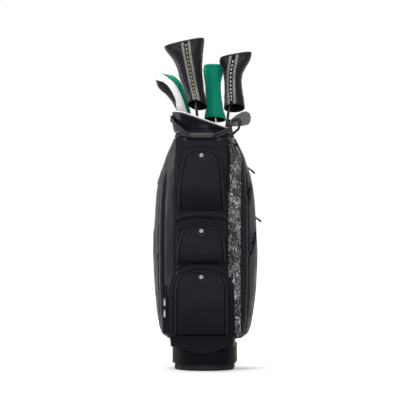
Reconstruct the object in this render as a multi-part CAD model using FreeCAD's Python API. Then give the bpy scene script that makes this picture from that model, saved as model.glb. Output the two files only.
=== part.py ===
import FreeCAD, Part
import math
import os

# Free-standing golf bag with five clubs, in millimetres.
# +X is the bag's own left-to-right, the pockets face -Y, +Z is up, and the origin is under the base's centre.

V = FreeCAD.Vector
X, Y, Z = V(1, 0, 0), V(0, 1, 0), V(0, 0, 1)

# ---- driving dimensions ----
COLLAR_HALF_X, COLLAR_HALF_Y = 114, 112     # moulded base collar
COLLAR_WALL = 4.5
FOOT_TOP, COLLAR_TOP = 24, 92
FOOT_R = 105                                # round front foot
TUBE_R, TUBE_WALL = 99, 4                   # stiff inner tube
TUBE_FLOOR, TUBE_TOP = 30, 845
PANEL_HALF, PANEL_TOP = 93, 832             # padded front panel
FLARE_HALF, FLARE_LOW, FLARE_HIGH = 114, 130, 310   # the panel widens towards the base
SKIN_TOP = 832                              # where the side panels meet the neck
RIM_MID, RIM_SLOPE, RIM_PEAK = 898, 0.36, 927
CUFF_WALL = 6
EDGING = 5
GRID_LOW, GRID_TOP, RIB = 815, 850, 3
ROW_RIBS = (-70, -38, -2, 34, 68)           # dividers between the rows of lanes
FLOOR_PAD_TOP = 42
BUTT_Z = 44                                 # lowest point of every grip
GRIP_BUTT_R, GRIP_TIP_R, GRIP_LENGTH = 12.5, 9, 262
SHAFT_BUTT_R, SHAFT_TIP_R = 7.5, 4.6
COVER_WALL = 3
PULL_RING_R, PULL_WIRE_R = 9.5, 1.4
STUD_R, STUD_NECK_R = 7, 2.4


def box(x0, x1, y0, y1, z0, z1):
    return Part.makeBox(x1 - x0, y1 - y0, z1 - z0, V(x0, y0, z0))


def rod(radius, start, end):
    """Cylinder between two points."""
    run = end - start
    return Part.makeCylinder(radius, run.Length, start, run)


def taper(radius_a, radius_b, start, end):
    run = end - start
    return Part.makeCone(radius_a, radius_b, run.Length, start, run)


def polygon_prism(points, direction):
    """Prism on a closed outline of points."""
    return Part.Face(Part.makePolygon(points + [points[0]])).extrude(direction)


def save(name, shape):
    """Write one node, with every solid in it checked."""
    solids = shape.Solids
    if not solids:
        raise ValueError(name + " has no solid")
    for solid in solids:
        if not solid.isValid() or solid.Volume <= 0:
            raise ValueError(name + " has a bad solid")
    whole = solids[0] if len(solids) == 1 else Part.makeCompound(solids)
    whole.exportStep("parts/" + name + ".step")
    print(name, len(solids), round(whole.Volume / 1000, 2), "cm3")
    return whole


def interpolate(table, z):
    """Row of a table of stations at height z, by straight lines between stations."""
    for low, high in zip(table, table[1:]):
        if low[0] <= z <= high[0]:
            share = (z - low[0]) / (high[0] - low[0])
            return [a + share * (b - a) for a, b in zip(low, high)]
    return list(table[0] if z < table[0][0] else table[-1])


# ---- base ----
def rounded_plan(half_x, half_y, front_r, rear_r):
    """Face of a rectangle with large front corners and smaller rear ones."""
    def corner(cx, cy, radius, from_deg):
        at = [math.radians(from_deg + turn) for turn in (0, 45, 90)]
        return Part.Arc(*[V(cx + radius * math.cos(a), cy + radius * math.sin(a), 0) for a in at]).toShape()

    arcs = [
        corner(half_x - rear_r, half_y - rear_r, rear_r, 0),
        corner(-half_x + rear_r, half_y - rear_r, rear_r, 90),
        corner(-half_x + front_r, -half_y + front_r, front_r, 180),
        corner(half_x - front_r, -half_y + front_r, front_r, 270),
    ]
    edges = []
    for arc, following in zip(arcs, arcs[1:] + arcs[:1]):
        edges.append(arc)
        edges.append(Part.makeLine(arc.Vertexes[1].Point, following.Vertexes[0].Point))
    return Part.Face(Part.Wire(edges))


def plan_plate(half_x, half_y, front_r, rear_r, z0, z1):
    plate = rounded_plan(half_x, half_y, front_r, rear_r).extrude(V(0, 0, z1 - z0))
    plate.translate(V(0, 0, z0))
    return plate


SCREW_SPOTS = [(sx * 60, y) for sx in (-1, 1) for y in (-50, 12)]


def make_screws():
    screws = []
    for x, y in SCREW_SPOTS:
        head = Part.makeCylinder(4, 3, V(x, y, 2))
        shank = Part.makeCylinder(1.9, 24, V(x, y, 4))
        screws.append(head.fuse(shank).removeSplitter())
    return Part.makeCompound(screws)


def make_foot():
    foot = Part.makeCylinder(FOOT_R, FOOT_TOP, V(0, -2, 0))
    foot = foot.cut(box(-130, 130, 34, 130, -1, FOOT_TOP + 1))
    for side in (-1, 1):
        for step in range(8):
            turn = math.radians(40 + step * 5.6)
            groove = box(-1.6, 1.6, -FOOT_R - 6, -FOOT_R + 3.5, 3, FOOT_TOP - 5)
            groove.rotate(V(0, 0, 0), Z, side * math.degrees(turn))
            groove.translate(V(0, -2, 0))
            foot = foot.cut(groove)
    for x, y in SCREW_SPOTS:
        foot = foot.cut(Part.makeCylinder(4, 5, V(x, y, 0)))
    return foot.cut(make_screws())


def make_collar():
    collar = plan_plate(COLLAR_HALF_X, COLLAR_HALF_Y, 100, 55, FOOT_TOP, COLLAR_TOP)
    inside = plan_plate(COLLAR_HALF_X - COLLAR_WALL, COLLAR_HALF_Y - COLLAR_WALL, 95.5, 50.5,
                        TUBE_FLOOR, COLLAR_TOP + 1)
    return collar.cut(inside).cut(make_screws())


def make_rear_feet():
    return Part.makeCompound([Part.makeCylinder(12.5, FOOT_TOP, V(side * 91, 86, 0)) for side in (-1, 1)])


def make_floor_pad():
    return Part.makeCylinder(TUBE_R - TUBE_WALL - 2, FLOOR_PAD_TOP - TUBE_FLOOR, V(0, 0, TUBE_FLOOR))


# ---- body: stiff tube and the padded skin round it ----
# height, half width, front y, y of the widest point, rear y, squareness of the front
SKIN = [
    (113, 140, -98, 44, 116, 2.9),
    (122, 151, -104, 46, 121, 2.8),
    (140, 163, -110, 48, 126, 2.7),
    (211, 176, -118, 50, 133, 2.35),
    (283, 183.5, -122, 50, 136, 2.2),
    (427, 189, -124, 50, 138, 2.2),
    (571, 181, -122, 48, 135, 2.2),
    (643, 174, -120, 46, 132, 2.2),
    (697, 163, -117, 42, 128, 2.15),
    (733, 151, -114, 36, 124, 2.1),
    (769, 140, -110, 28, 119, 2.05),
    (805, 122, -106, 14, 114, 2.0),
    (SKIN_TOP, 109, -104, 5, 110, 2.0),
]
REAR_SQUARENESS = 2.5
SKIN_POINTS = 28


def skin_point(z, turn):
    """Point on the outer skin at height z; turn is 0 at the right and runs anticlockwise."""
    _, half, front, widest, rear, squareness = interpolate(SKIN, z)
    depth, power = (rear - widest, REAR_SQUARENESS) if math.sin(turn) >= 0 else (widest - front, squareness)
    along, across = math.cos(turn), math.sin(turn)
    return V(math.copysign(half * abs(along) ** (2 / power), along),
             widest + math.copysign(depth * abs(across) ** (2 / power), across), z)


def skin_front_y(z, x):
    """y of the skin's front face at height z and width x."""
    _, half, front, widest, _, squareness = interpolate(SKIN, z)
    share = min(1.0, abs(x) / half) ** squareness
    return widest - (widest - front) * (1 - share) ** (1 / squareness)


def skin_loft():
    wires = []
    for station in SKIN:
        turns = [2 * math.pi * (i + 0.5) / SKIN_POINTS for i in range(SKIN_POINTS)]
        curve = Part.BSplineCurve()
        curve.interpolate([skin_point(station[0], turn) for turn in turns], PeriodicFlag=True)
        wires.append(Part.Wire(curve.toShape()))
    return Part.makeLoft(wires, True, False)


def make_tube():
    outer = Part.makeCylinder(TUBE_R, TUBE_TOP - TUBE_FLOOR, V(0, 0, TUBE_FLOOR))
    inner = Part.makeCylinder(TUBE_R - TUBE_WALL, TUBE_TOP, V(0, 0, TUBE_FLOOR - 5))
    return outer.cut(inner)


def make_support_rods():
    return Part.makeCompound([Part.makeCylinder(2.5, 800, V(x, math.sqrt(92 ** 2 - x ** 2), 43)) for x in (-34, 34)])


CORE = Part.makeCylinder(TUBE_R, 900, V(0, 0, 0))
STRIPE_X = 137                              # outer edge of the patterned stripe beside the front panel
SPINE_HALF = 62


def panel_outline(margin):
    """Prism of the front panel's outline seen from the front, from the bag's middle forwards."""
    half, flare = PANEL_HALF + margin, FLARE_HALF + margin
    right = [V(flare, 0, 0), V(flare, 0, FLARE_LOW), V(half, 0, FLARE_HIGH), V(half, 0, 900)]
    left = [V(-point.x, 0, point.z) for point in reversed(right)]
    return polygon_prism(right + left, V(0, -260, 0))


def make_side(side):
    """One side's pocket, from the front panel's edge round to the spine pad."""
    pocket = skin_loft().cut(CORE)
    pocket = pocket.common(box(0, 260, -260, 260, 0, 900) if side > 0 else box(-260, 0, -260, 260, 0, 900))
    pocket = pocket.cut(panel_outline(0.3))
    return pocket.cut(box(-SPINE_HALF, SPINE_HALF, 0, 260, 0, 900))


PANEL_PROFILE = [(-116.6, 58), (-118, 92), (-124, 140), (-126, 330), (-124, 560), (-120, 700), (-113, 800),
                 (-109, PANEL_TOP)]


def panel_y(z):
    """y of the front panel's face."""
    return interpolate([(point[1], point[0]) for point in PANEL_PROFILE], z)[1]


def side_profile(front, low, high, back=0, half=PANEL_HALF):
    """Prism across the bag with a front edge given as (y, z) points."""
    outline = [V(-half, back, low)] + [V(-half, y, z) for y, z in front] + [V(-half, back, high)]
    return polygon_prism(outline, V(2 * half, 0, 0))


def make_front_panel():
    panel = side_profile(PANEL_PROFILE, 58, PANEL_TOP, half=FLARE_HALF).common(panel_outline(0))
    hem = Part.makeCylinder(300, 300, V(0, 0, 58 + 300), V(0, -1, 0))
    hem = hem.fuse(box(-FLARE_HALF, FLARE_HALF, -300, 0, COLLAR_TOP, 900))
    skirt = plan_plate(COLLAR_HALF_X, COLLAR_HALF_Y, 100, 55, 0, COLLAR_TOP)
    return panel.common(hem).cut(skirt).cut(CORE)


def make_spine_pad():
    profile = [(112, 98), (122, 140), (126, 430), (122, 700), (108, SKIN_TOP)]
    outline = [V(-SPINE_HALF, 0, 98)] + [V(-SPINE_HALF, y, z) for y, z in profile]
    outline.append(V(-SPINE_HALF, 0, SKIN_TOP))
    return polygon_prism(outline, V(2 * SPINE_HALF, 0, 0)).cut(CORE)


# ---- front pockets: an arch outline seen from the front, and a bulging profile seen from the side ----
# half outline (x, z) from the bottom corner up, and profile (y, z) from the bottom up
FRONT_POCKETS = {
    "upper": ([(81, 572), (80, 640), (74, 710), (66, 752), (50, 779)],
              [(-150, 572), (-164, 583), (-166, 600), (-158, 640), (-140, 700), (-130.5, 740), (-123.5, 779)]),
    "middle": ([(81, 390), (80, 430), (73, 478), (62, 500), (46, 509)],
               [(-146, 390), (-155, 400), (-154, 420), (-143, 460), (-129.5, 509)]),
    "lower": ([(88, 133), (88, 300), (81, 334), (62, 348), (42, 351)],
              [(-142, 133), (-156, 145), (-163, 180), (-160, 240), (-146, 300), (-131, 351)]),
}
STUD_HEIGHT = {"upper": 764, "middle": 496, "lower": 333}
ZIP_WIDTH, ZIP_STEP = 5, 4                  # zip band round each arch, and how far it lies behind the face


def arch_prism(half_outline, margin):
    """Arch-shaped prism through the pocket, widened by margin."""
    low = half_outline[0][1]
    points = []
    for x, z in half_outline:
        points.append((x + margin, z + (margin if z > low + 60 else 0)))
    right = [V(x, -60, z) for x, z in points]
    left = [V(-x, -60, z) for x, z in reversed(points)]
    return polygon_prism(right + left, V(0, -200, 0))


def pocket_profile(profile, shift, low, high):
    return side_profile([(y + shift, z) for y, z in profile], low, high, half=120)


def make_front_pocket(name, panel):
    outline, profile = FRONT_POCKETS[name]
    volume = pocket_profile(profile, 0, outline[0][1], outline[-1][1])
    return arch_prism(outline, 0).common(volume).cut(panel).cut(CORE)


def make_zip_band(name, panel, pocket):
    outline, profile = FRONT_POCKETS[name]
    low, high = outline[0][1], outline[-1][1]
    stretched = [(y + ZIP_STEP, z) for y, z in profile] + [(profile[-1][0] + ZIP_STEP, high + ZIP_WIDTH)]
    volume = side_profile(stretched, low, high + ZIP_WIDTH, half=120)
    band = arch_prism(outline, ZIP_WIDTH).cut(arch_prism(outline, 0)).common(volume)
    return band.cut(panel).cut(CORE).cut(pocket)


def stud_frame(name):
    """Place of a pocket's stud on the face, and the face's outward direction there."""
    profile = FRONT_POCKETS[name][1]
    z = STUD_HEIGHT[name]
    (y0, z0), (y1, z1) = profile[-2], profile[-1]
    y = y0 + (y1 - y0) * (z - z0) / (z1 - z0)
    along = V(0, y1 - y0, z1 - z0)
    along.normalize()
    return V(0, y, z), V(0, -along.z, along.y), along


def make_stud(name):
    foot, out, _ = stud_frame(name)
    neck = rod(STUD_NECK_R, foot, foot + out * 5)
    cap = rod(STUD_R, foot + out * 4.6, foot + out * 7)
    return neck.fuse(cap).removeSplitter()


def make_pull_ring(name):
    """Ring that hangs on the stud's neck, behind its cap."""
    foot, out, up = stud_frame(name)
    centre = foot + out * 2.4 + up * (STUD_NECK_R + 0.2 - (PULL_RING_R - PULL_WIRE_R))
    return Part.makeTorus(PULL_RING_R, PULL_WIRE_R, centre, out)


# ---- straight zip low on the left, with two sliders ----
ZIP_X = -131
ZIP_LOW, ZIP_HIGH = 134, 300
ZIP_OUT = V(-0.5, -math.sqrt(0.75), 0)      # direction that the zip faces
ZIP_ACROSS = V(math.sqrt(0.75), -0.5, 0)
ZIP_PROUD = 3.6                             # how far the zip's face stands off the skin at mid height
ZIP_DEPTH = 13
ZIP_FACE = V(ZIP_X, skin_front_y(211, ZIP_X), 0) + ZIP_OUT * ZIP_PROUD
SLIDER_Z = {"top": 254, "low": 214}
TAB_LENGTH = 24


def oriented_block(centre, across, out, half_width, depth_in, depth_out, z0, z1):
    """Block in the plan frame given by across and out, between two heights."""
    corners = [centre + across * a + out * b for a, b in
               ((-half_width, depth_in), (half_width, depth_in), (half_width, depth_out), (-half_width, depth_out))]
    return polygon_prism([V(c.x, c.y, z0) for c in corners], V(0, 0, z1 - z0))


def make_straight_zip():
    return oriented_block(ZIP_FACE, ZIP_ACROSS, ZIP_OUT, 5, -ZIP_DEPTH, 0, ZIP_LOW, ZIP_HIGH)


def make_slider(name):
    """Slider body with the lug that its tab hangs from."""
    z = SLIDER_Z[name]
    body = oriented_block(ZIP_FACE, ZIP_ACROSS, ZIP_OUT, 4.5, 0.4, 3, z - 6, z + 6)
    lug = oriented_block(ZIP_FACE, ZIP_ACROSS, ZIP_OUT, 1.2, 3, 7, z - 2, z + 3)
    pin = rod(1.0, ZIP_FACE + ZIP_OUT * 5.4 + Z * z - ZIP_ACROSS * 3, ZIP_FACE + ZIP_OUT * 5.4 + Z * z + ZIP_ACROSS * 3)
    return body.fuse([lug, pin]).removeSplitter()


def make_tab(name):
    """Pull tab hanging from the slider's pin."""
    z = SLIDER_Z[name]
    centre = ZIP_FACE + ZIP_OUT * 5.4
    plate = oriented_block(centre, ZIP_ACROSS, ZIP_OUT, 3.6, -0.9, 0.9, z - TAB_LENGTH, z - 4)
    cheeks = []
    for side in (-1, 1):
        start = centre + ZIP_ACROSS * (side * 1.5) + Z * z
        eye = rod(2.2, start, start + ZIP_ACROSS * (side * 1.4))
        strip = oriented_block(centre + ZIP_ACROSS * (side * 2.2), ZIP_ACROSS, ZIP_OUT, 0.7, -0.9, 0.9, z - 5, z)
        cheeks.append(eye.fuse(strip))
    tab = plate.fuse(cheeks)
    return tab.cut(rod(1.06, centre + Z * z - ZIP_ACROSS * 8, centre + Z * z + ZIP_ACROSS * 8)).removeSplitter()


# ---- pull tabs that stand out of the right pocket's zips ----
RIGHT_TABS = {"top": (70, 720, 26), "low": (62, 541, 20)}   # y, height, length


def right_tab_root(name):
    y, z, _ = RIGHT_TABS[name]
    return V(interpolate(SKIN, z)[1] + 4, y, z)


def make_right_lug(name):
    """Zip slider sewn at the pocket's edge, with the pin that the tab turns on."""
    root = right_tab_root(name)
    body = box(root.x - 9, root.x - 2.4, root.y - 4, root.y + 4, root.z - 6, root.z + 6)
    lug = box(root.x - 3, root.x + 1.6, root.y - 1.2, root.y + 1.2, root.z - 1.6, root.z + 1.6)
    pin = rod(1.0, root - Y * 3, root + Y * 3)
    return body.fuse([lug, pin]).removeSplitter()


def make_right_tab(name):
    _, _, length = RIGHT_TABS[name]
    root = right_tab_root(name)
    plate = box(root.x + 3, root.x + length, root.y - 3.2, root.y + 3.2, root.z - 0.9, root.z + 0.9)
    tab = plate
    for side in (-1, 1):
        start = root + Y * (side * 1.5)
        eye = rod(2.1, start, start + Y * (side * 1.4))
        low, high = sorted((root.y + side * 1.5, root.y + side * 2.9))
        tab = tab.fuse([eye, box(root.x, root.x + 4, low, high, root.z - 0.9, root.z + 0.9)])
    tab = tab.cut(rod(1.06, root - Y * 8, root + Y * 8)).removeSplitter()
    tab.rotate(root, Y, 43)
    return tab


# ---- top cuff, its edging and handles ----
# height, centre x, outer half width, outer half depth
CUFF = [(TUBE_TOP, 0, 101, 102), (856, -4, 108, 112), (872, -7, 109, 111), (890, -8, 110.5, 109), (916, -8, 108.5, 107),
        (940, -8, 106, 105)]


def cuff_loft(inset):
    return Part.makeLoft([ellipse_wire(cx, 0, z, rx - inset, ry - inset) for z, cx, rx, ry in CUFF], True, False)


def ellipse_wire(cx, cy, z, rx, ry):
    """Horizontal ellipse as a closed wire that starts at the same side for any proportions."""
    count = 16
    curve = Part.BSplineCurve()
    curve.interpolate([V(cx + rx * math.cos(2 * math.pi * i / count), cy + ry * math.sin(2 * math.pi * i / count), z)
                       for i in range(count)], PeriodicFlag=True)
    return Part.Wire(curve.toShape())


def below_rim(drop):
    """Everything under the rim, which slopes down to the right from a level left end."""
    slope = [V(-300, -300, RIM_MID + 300 * RIM_SLOPE - drop), V(300, -300, RIM_MID - 300 * RIM_SLOPE - drop),
             V(300, -300, 0), V(-300, -300, 0)]
    wedge = polygon_prism(slope, V(0, 600, 0))
    return wedge.common(box(-300, 300, -300, 300, 0, RIM_PEAK - drop))


def make_cuff():
    ring = cuff_loft(0).cut(cuff_loft(CUFF_WALL))
    cuff = ring.common(below_rim(EDGING))
    edging = ring.common(below_rim(0)).cut(below_rim(EDGING))
    return cuff, edging


def smooth_tube(points, radius):
    """Round bar along a route, with a ball at each bend."""
    bar = rod(radius, points[0], points[1])
    for start, end in zip(points[1:], points[2:]):
        bar = bar.fuse([Part.makeSphere(radius, start), rod(radius, start, end)])
    return bar.removeSplitter()


SIDE_HANDLE = [V(97, -4, 850), V(95, -4, 880), V(103, -4, 895), V(121, -4, 898), V(130, -4, 887), V(123, -4, 862),
               V(100, -4, 842)]
REAR_HANDLE = [V(-45, 98, 858), V(-45, 134, 858), V(45, 134, 858), V(45, 98, 858)]


def make_cuff_handles():
    solid_cuff = cuff_loft(0).fuse(CORE)
    side = smooth_tube(SIDE_HANDLE, 4.5).cut(cuff_loft(0).common(below_rim(0))).cut(CORE)
    rear = smooth_tube(REAR_HANDLE, 7).cut(solid_cuff)
    return Part.makeCompound(side.Solids + rear.Solids)


# ---- dividers: a moulded grid of lanes on top, and full-length sheets between the rows ----
# row between two ribs, and the x of the walls in it
LANE_WALLS = [(-70, -38, (-45, 20)), (-38, -2, (-50, 2, 54)), (-2, 34, (-50, 2, 54)), (34, 68, (-35, 10))]


def make_grid():
    inside = Part.makeCylinder(TUBE_R - TUBE_WALL - 0.1, 200, V(0, 0, 780))
    ribs = [box(-100, 100, y - RIB / 2, y + RIB / 2, GRID_LOW, GRID_TOP) for y in ROW_RIBS]
    for low, high, walls in LANE_WALLS:
        ribs += [box(x - RIB / 2, x + RIB / 2, low, high, GRID_LOW, GRID_TOP) for x in walls]
    return ribs[0].fuse(ribs[1:]).common(inside).removeSplitter()


def make_sheets():
    inside = Part.makeCylinder(TUBE_R - TUBE_WALL - 0.3, 900, V(0, 0, 0))
    sheets = [box(-100, 100, y - 0.6, y + 0.6, FLOOR_PAD_TOP + 1, GRID_LOW - 0.5) for y in ROW_RIBS[1:4]]
    return Part.makeCompound([sheet.common(inside) for sheet in sheets])


# ---- front lift handle ----
GRIP_Y, GRIP_Z, GRIP_HALF, GRIP_BAR_R = -127, 836, 45, 9
# each arm from the cuff to the grip; the left one starts higher, because the rim does
LEFT_ARM = [V(-114.5, -41, 898), V(-102, -75, 879), V(-81, -104, 857), V(-60, -121, 843), V(-GRIP_HALF - 1, GRIP_Y, GRIP_Z)]
RIGHT_ARM = [V(97, -50, 863), V(90, -78, 856), V(74, -106, 847), V(58, -122, 839), V(GRIP_HALF + 1, GRIP_Y, GRIP_Z)]
ARM_TABS = [(-120, -100, -35, -20, 886, 910), (88, 101.5, -44, -29, 851, 875)]   # stitched ends on the cuff
STRAP_HALF_HEIGHT, STRAP_HALF_THICK = 8.5, 1.6


def strap_section(point, direction):
    """Upright rectangle across the strap's run."""
    across = V(-direction.y, direction.x, 0)
    across.normalize()
    up = direction.cross(across)
    up.normalize()
    corners = [point + across * (a * STRAP_HALF_THICK) + up * (b * STRAP_HALF_HEIGHT)
               for a, b in ((-1, -1), (1, -1), (1, 1), (-1, 1))]
    return Part.makePolygon(corners + [corners[0]])


def make_handle_strap():
    """Webbing from both ends into the grip, in one piece through it."""
    strap = rod(3, V(-GRIP_HALF - 2, GRIP_Y, GRIP_Z), V(GRIP_HALF + 2, GRIP_Y, GRIP_Z))
    for route in (LEFT_ARM, RIGHT_ARM):
        sections = []
        for i, point in enumerate(route):
            before = route[max(0, i - 1)]
            after = route[min(len(route) - 1, i + 1)]
            sections.append(strap_section(point, after - before))
        strap = strap.fuse(Part.makeLoft(sections, True, True))
    return strap.removeSplitter()


def make_handle_grip(strap):
    return rod(GRIP_BAR_R, V(-GRIP_HALF, GRIP_Y, GRIP_Z), V(GRIP_HALF, GRIP_Y, GRIP_Z)).cut(strap)


def make_handle_tabs():
    """Stitched webbing ends on the cuff that the handle's strap folds from."""
    solid_cuff = cuff_loft(0)
    return Part.makeCompound([tab for ends in ARM_TABS for tab in box(*ends).cut(solid_cuff).cut(CORE).Solids])


def make_handle_rivets(panel):
    rivets = []
    for side in (-1, 1):
        rivets.append(rod(5.5, V(side * 61, -100, 822), V(side * 61, -114, 822)))
    return Part.makeCompound(rivets).cut(panel).cut(CORE)


# ---- towel ring on the right shoulder ----
TOWEL_AT = V(112, 0, 803)
TOWEL_OUT = V(0.7, -math.sqrt(0.51), 0)
TOWEL_WIRE_R = 1.7
TOWEL_STAND_OFF, TOWEL_SLOPE = 8.5, 24


def towel_frame():
    """Hanging point, direction across the ring, and direction down the sloping shoulder."""
    root = V(TOWEL_AT.x, skin_front_y(TOWEL_AT.z, TOWEL_AT.x), TOWEL_AT.z) + TOWEL_OUT * TOWEL_STAND_OFF
    across = V(-TOWEL_OUT.y, TOWEL_OUT.x, 0)
    slope = math.radians(TOWEL_SLOPE)
    down = TOWEL_OUT * math.sin(slope) - Z * math.cos(slope)
    return root, across, down


def make_towel_ring():
    root, across, down = towel_frame()
    corners = [root - across * 9, root + across * 9, root + across * 9 + down * 38, root - across * 9 + down * 38]
    ring = rod(TOWEL_WIRE_R, corners[0], corners[1])
    for start, end in zip(corners[1:], corners[2:] + corners[:1]):
        ring = ring.fuse([Part.makeSphere(TOWEL_WIRE_R, start), rod(TOWEL_WIRE_R, start, end)])
    return ring.fuse(Part.makeSphere(TOWEL_WIRE_R, corners[0])).removeSplitter()


def make_towel_tab(skin):
    """Folded webbing loop round the ring's top bar."""
    root, across, _ = towel_frame()
    sleeve = rod(3.2, root - across * 5, root + across * 5)
    tail = oriented_block(V(root.x, root.y, 0), across, TOWEL_OUT, 5, -12, -1, root.z - 2, root.z + 7)
    tab = sleeve.fuse(tail).cut(rod(TOWEL_WIRE_R + 0.08, root - across * 8, root + across * 8))
    return tab.cut(skin)


# ---- shoulder strap on the back ----
STRAP_ROUTE = [V(0, 128, 772), V(0, 150, 740), V(0, 166, 660), V(0, 172, 560), V(0, 166, 450), V(0, 152, 370),
               V(0, 134, 335)]
STRAP_HALF_WIDTH = 20


def strap_run(first, last, half_width, half_thick):
    """Flat band along part of the strap's route."""
    sections = []
    for i in range(first, last + 1):
        before = STRAP_ROUTE[max(0, i - 1)]
        after = STRAP_ROUTE[min(len(STRAP_ROUTE) - 1, i + 1)]
        run = after - before
        run.normalize()
        normal = run.cross(X)
        point = STRAP_ROUTE[i]
        corners = [point + X * (a * half_width) + normal * (b * half_thick)
                   for a, b in ((-1, -1), (1, -1), (1, 1), (-1, 1))]
        sections.append(Part.makePolygon(corners + [corners[0]]))
    return Part.makeLoft(sections, True, True)


def make_carry_strap():
    pad = strap_run(2, 4, 32, 8)
    webbing = strap_run(0, 6, STRAP_HALF_WIDTH, 1.8).cut(pad)
    low = STRAP_ROUTE[5]
    buckle = box(-26, 26, low.y - 8, low.y + 8, low.z - 14, low.z + 14).cut(webbing)
    anchors = []
    for point in (STRAP_ROUTE[0], STRAP_ROUTE[-1]):
        plate = box(-26, 26, 118, point.y + 3, point.z - 16, point.z + 16)
        anchors.append(plate)
    return pad, webbing, buckle, Part.makeCompound(anchors)


# ---- clubs ----
# A club leans only sideways, so it stays in its own row of lanes. x_rim is its place at the rim's height.
RIM_Z = 845


class Club:
    def __init__(self, name, x_rim, y, lean_deg, top):
        self.name = name
        self.run = V(math.sin(math.radians(lean_deg)), 0, math.cos(math.radians(lean_deg)))
        self.rim = V(x_rim, y, RIM_Z)
        self.top = top

    def at(self, z):
        """Point on the shaft's line at height z."""
        return self.rim + self.run * ((z - RIM_Z) / self.run.z)

    def make_shaft(self):
        return taper(SHAFT_BUTT_R, SHAFT_TIP_R, self.at(BUTT_Z + 6), self.at(self.top))

    def make_grip(self):
        butt = self.at(BUTT_Z + GRIP_BUTT_R * abs(self.run.x))
        grip = taper(GRIP_BUTT_R, GRIP_TIP_R, butt, butt + self.run * GRIP_LENGTH)
        return grip.cut(self.make_shaft())


CLUBS = {
    "driver": Club("driver", -16, -54, -5.4, 1108),
    "fairway": Club("fairway", 77.5, -22, 8, 1082),
    "utility": Club("utility", 38, 50, -1.5, 1052),
    "hybrid": Club("hybrid", -62, 50, -6.5, 972),
    "wedge": Club("wedge", 79, 18, 7, 866),
}

# headcovers: height, centre x, half width, centre y, half depth
COVERS = {
    "driver": [(926, -21, 33, -54, 31), (967, -22, 34, -54, 31), (1003, -31, 35, -54, 32), (1040, -38, 39.5, -54, 37),
               (1080, -45, 44, -54, 43), (1104, -50, 48, -54, 46), (1128, -60, 59, -54, 48), (1152, -67, 66, -54, 47),
               (1168, -55, 53, -54, 42), (1180, -38, 34, -54, 30), (1186, -30, 20, -54, 16)],
    "fairway": [(918, 110, 36, -25, 29), (967, 109, 33.5, -25, 29), (995, 106, 31, -25, 29), (1046, 104, 30, -26, 30),
                (1070, 106, 35, -27, 32), (1090, 110, 45, -28, 34), (1110, 113, 54, -28, 34), (1125, 115, 53, -28, 29),
                (1136, 124, 36, -28, 18)],
    "utility": [(884, 35, 38, 50, 36), (912, 35, 37, 50, 35), (931, 33.5, 32, 50, 32), (967, 30, 28, 50, 29),
                (1010, 27, 27, 50, 29), (1042, 25, 29, 50, 30), (1062, 27, 36, 50, 31), (1078, 28, 37, 50, 29),
                (1090, 26, 31, 50, 22), (1097, 24, 18, 50, 12)],
    "hybrid": [(899, -69, 18, 43, 18), (926, -74, 20, 43, 20), (948, -83, 25, 45, 27), (970, -94, 28, 47, 30),
               (992, -107, 34, 47, 32), (1017, -127, 44, 47, 33), (1034, -135, 43, 47, 31), (1048, -136, 36, 47, 26),
               (1058, -140, 22, 47, 16)],
}
# sloping cut of each mouth: height at the front lip and at the rear lip
MOUTHS = {"driver": (964, 930), "fairway": (955, 922), "utility": (910, 888), "hybrid": (906, 902)}
# club heads inside the covers: centre x, y, z and half sizes
HEADS = {
    "driver": (-60, -54, 1134, 48, 40, 30),
    "fairway": (112, -28, 1104, 42, 27, 20),
    "utility": (27, 50, 1070, 29, 23, 17),
    "hybrid": (-122, 47, 1018, 29, 22, 17),
}


def cover_loft(name, inset):
    """Closed form of a cover; the inside one is smaller all round and starts lower down."""
    rows = COVERS[name]
    last = len(rows) - 1
    wires = [ellipse_wire(cx, cy, z - inset * i / last, rx - inset, ry - inset)
             for i, (z, cx, rx, cy, ry) in enumerate(rows)]
    if inset:
        z, cx, rx, cy, ry = rows[0]
        wires.insert(0, ellipse_wire(cx, cy, z - 25, rx - inset, ry - inset))
    return Part.makeLoft(wires, True, False)


def make_cover(name):
    """Hollow sock with a wall of even thickness, open at its sloping mouth."""
    front, rear = MOUTHS[name]
    cy, ry = COVERS[name][0][3], COVERS[name][0][4]
    cut = polygon_prism([V(-300, cy - ry, front), V(-300, cy + ry, rear), V(-300, 200, rear - 60),
                         V(-300, 200, 700), V(-300, -200, 700), V(-300, -200, front)], V(600, 0, 0))
    return cover_loft(name, 0).cut(cut).cut(cover_loft(name, COVER_WALL))


def make_covered_head(name):
    """Rounded head with its hosel, clear of the cover's inside."""
    x, y, z, a, b, c = HEADS[name]
    club = CLUBS[name]
    levels = [(step, math.sqrt(1 - step ** 2)) for step in (-0.96, -0.75, -0.4, 0, 0.4, 0.75, 0.96)]
    head = Part.makeLoft([ellipse_wire(x, y, z + c * step, a * size, b * size) for step, size in levels], True, False)
    bend = club.at(club.top)
    entry = bend + (V(x, y, z) - bend) * 0.72
    hosel = [rod(6.4, club.at(club.top - 16), bend), Part.makeSphere(6.4, bend), rod(6.4, bend, entry)]
    return head.fuse(hosel).cut(club.make_shaft()).removeSplitter()


WEDGE_OUTLINE = [(90, 893), (112, 911), (135, 924), (151, 926), (163, 919), (167, 903), (164, 886), (156, 878),
                 (136, 873.5), (104, 871.5), (90, 873)]


def make_wedge_head():
    """Blade with a thick sole along its upper edge, and a hosel."""
    club = CLUBS["wedge"]
    y = club.rim.y
    blade = polygon_prism([V(x, y - 9, z) for x, z in WEDGE_OUTLINE], V(0, 18, 0))
    relief = polygon_prism([V(60, y + 10, 950), V(60, y - 3.5, 860), V(60, y + 40, 860)], V(130, 0, 0))
    face = polygon_prism([V(60, y - 10, 950), V(60, y - 40, 860), V(60, y - 7, 860)], V(130, 0, 0))
    hosel = taper(6.4, 7.4, club.at(club.top), club.at(898))
    return blade.cut(relief).cut(face).fuse(hosel).cut(club.make_shaft()).removeSplitter()


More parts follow.
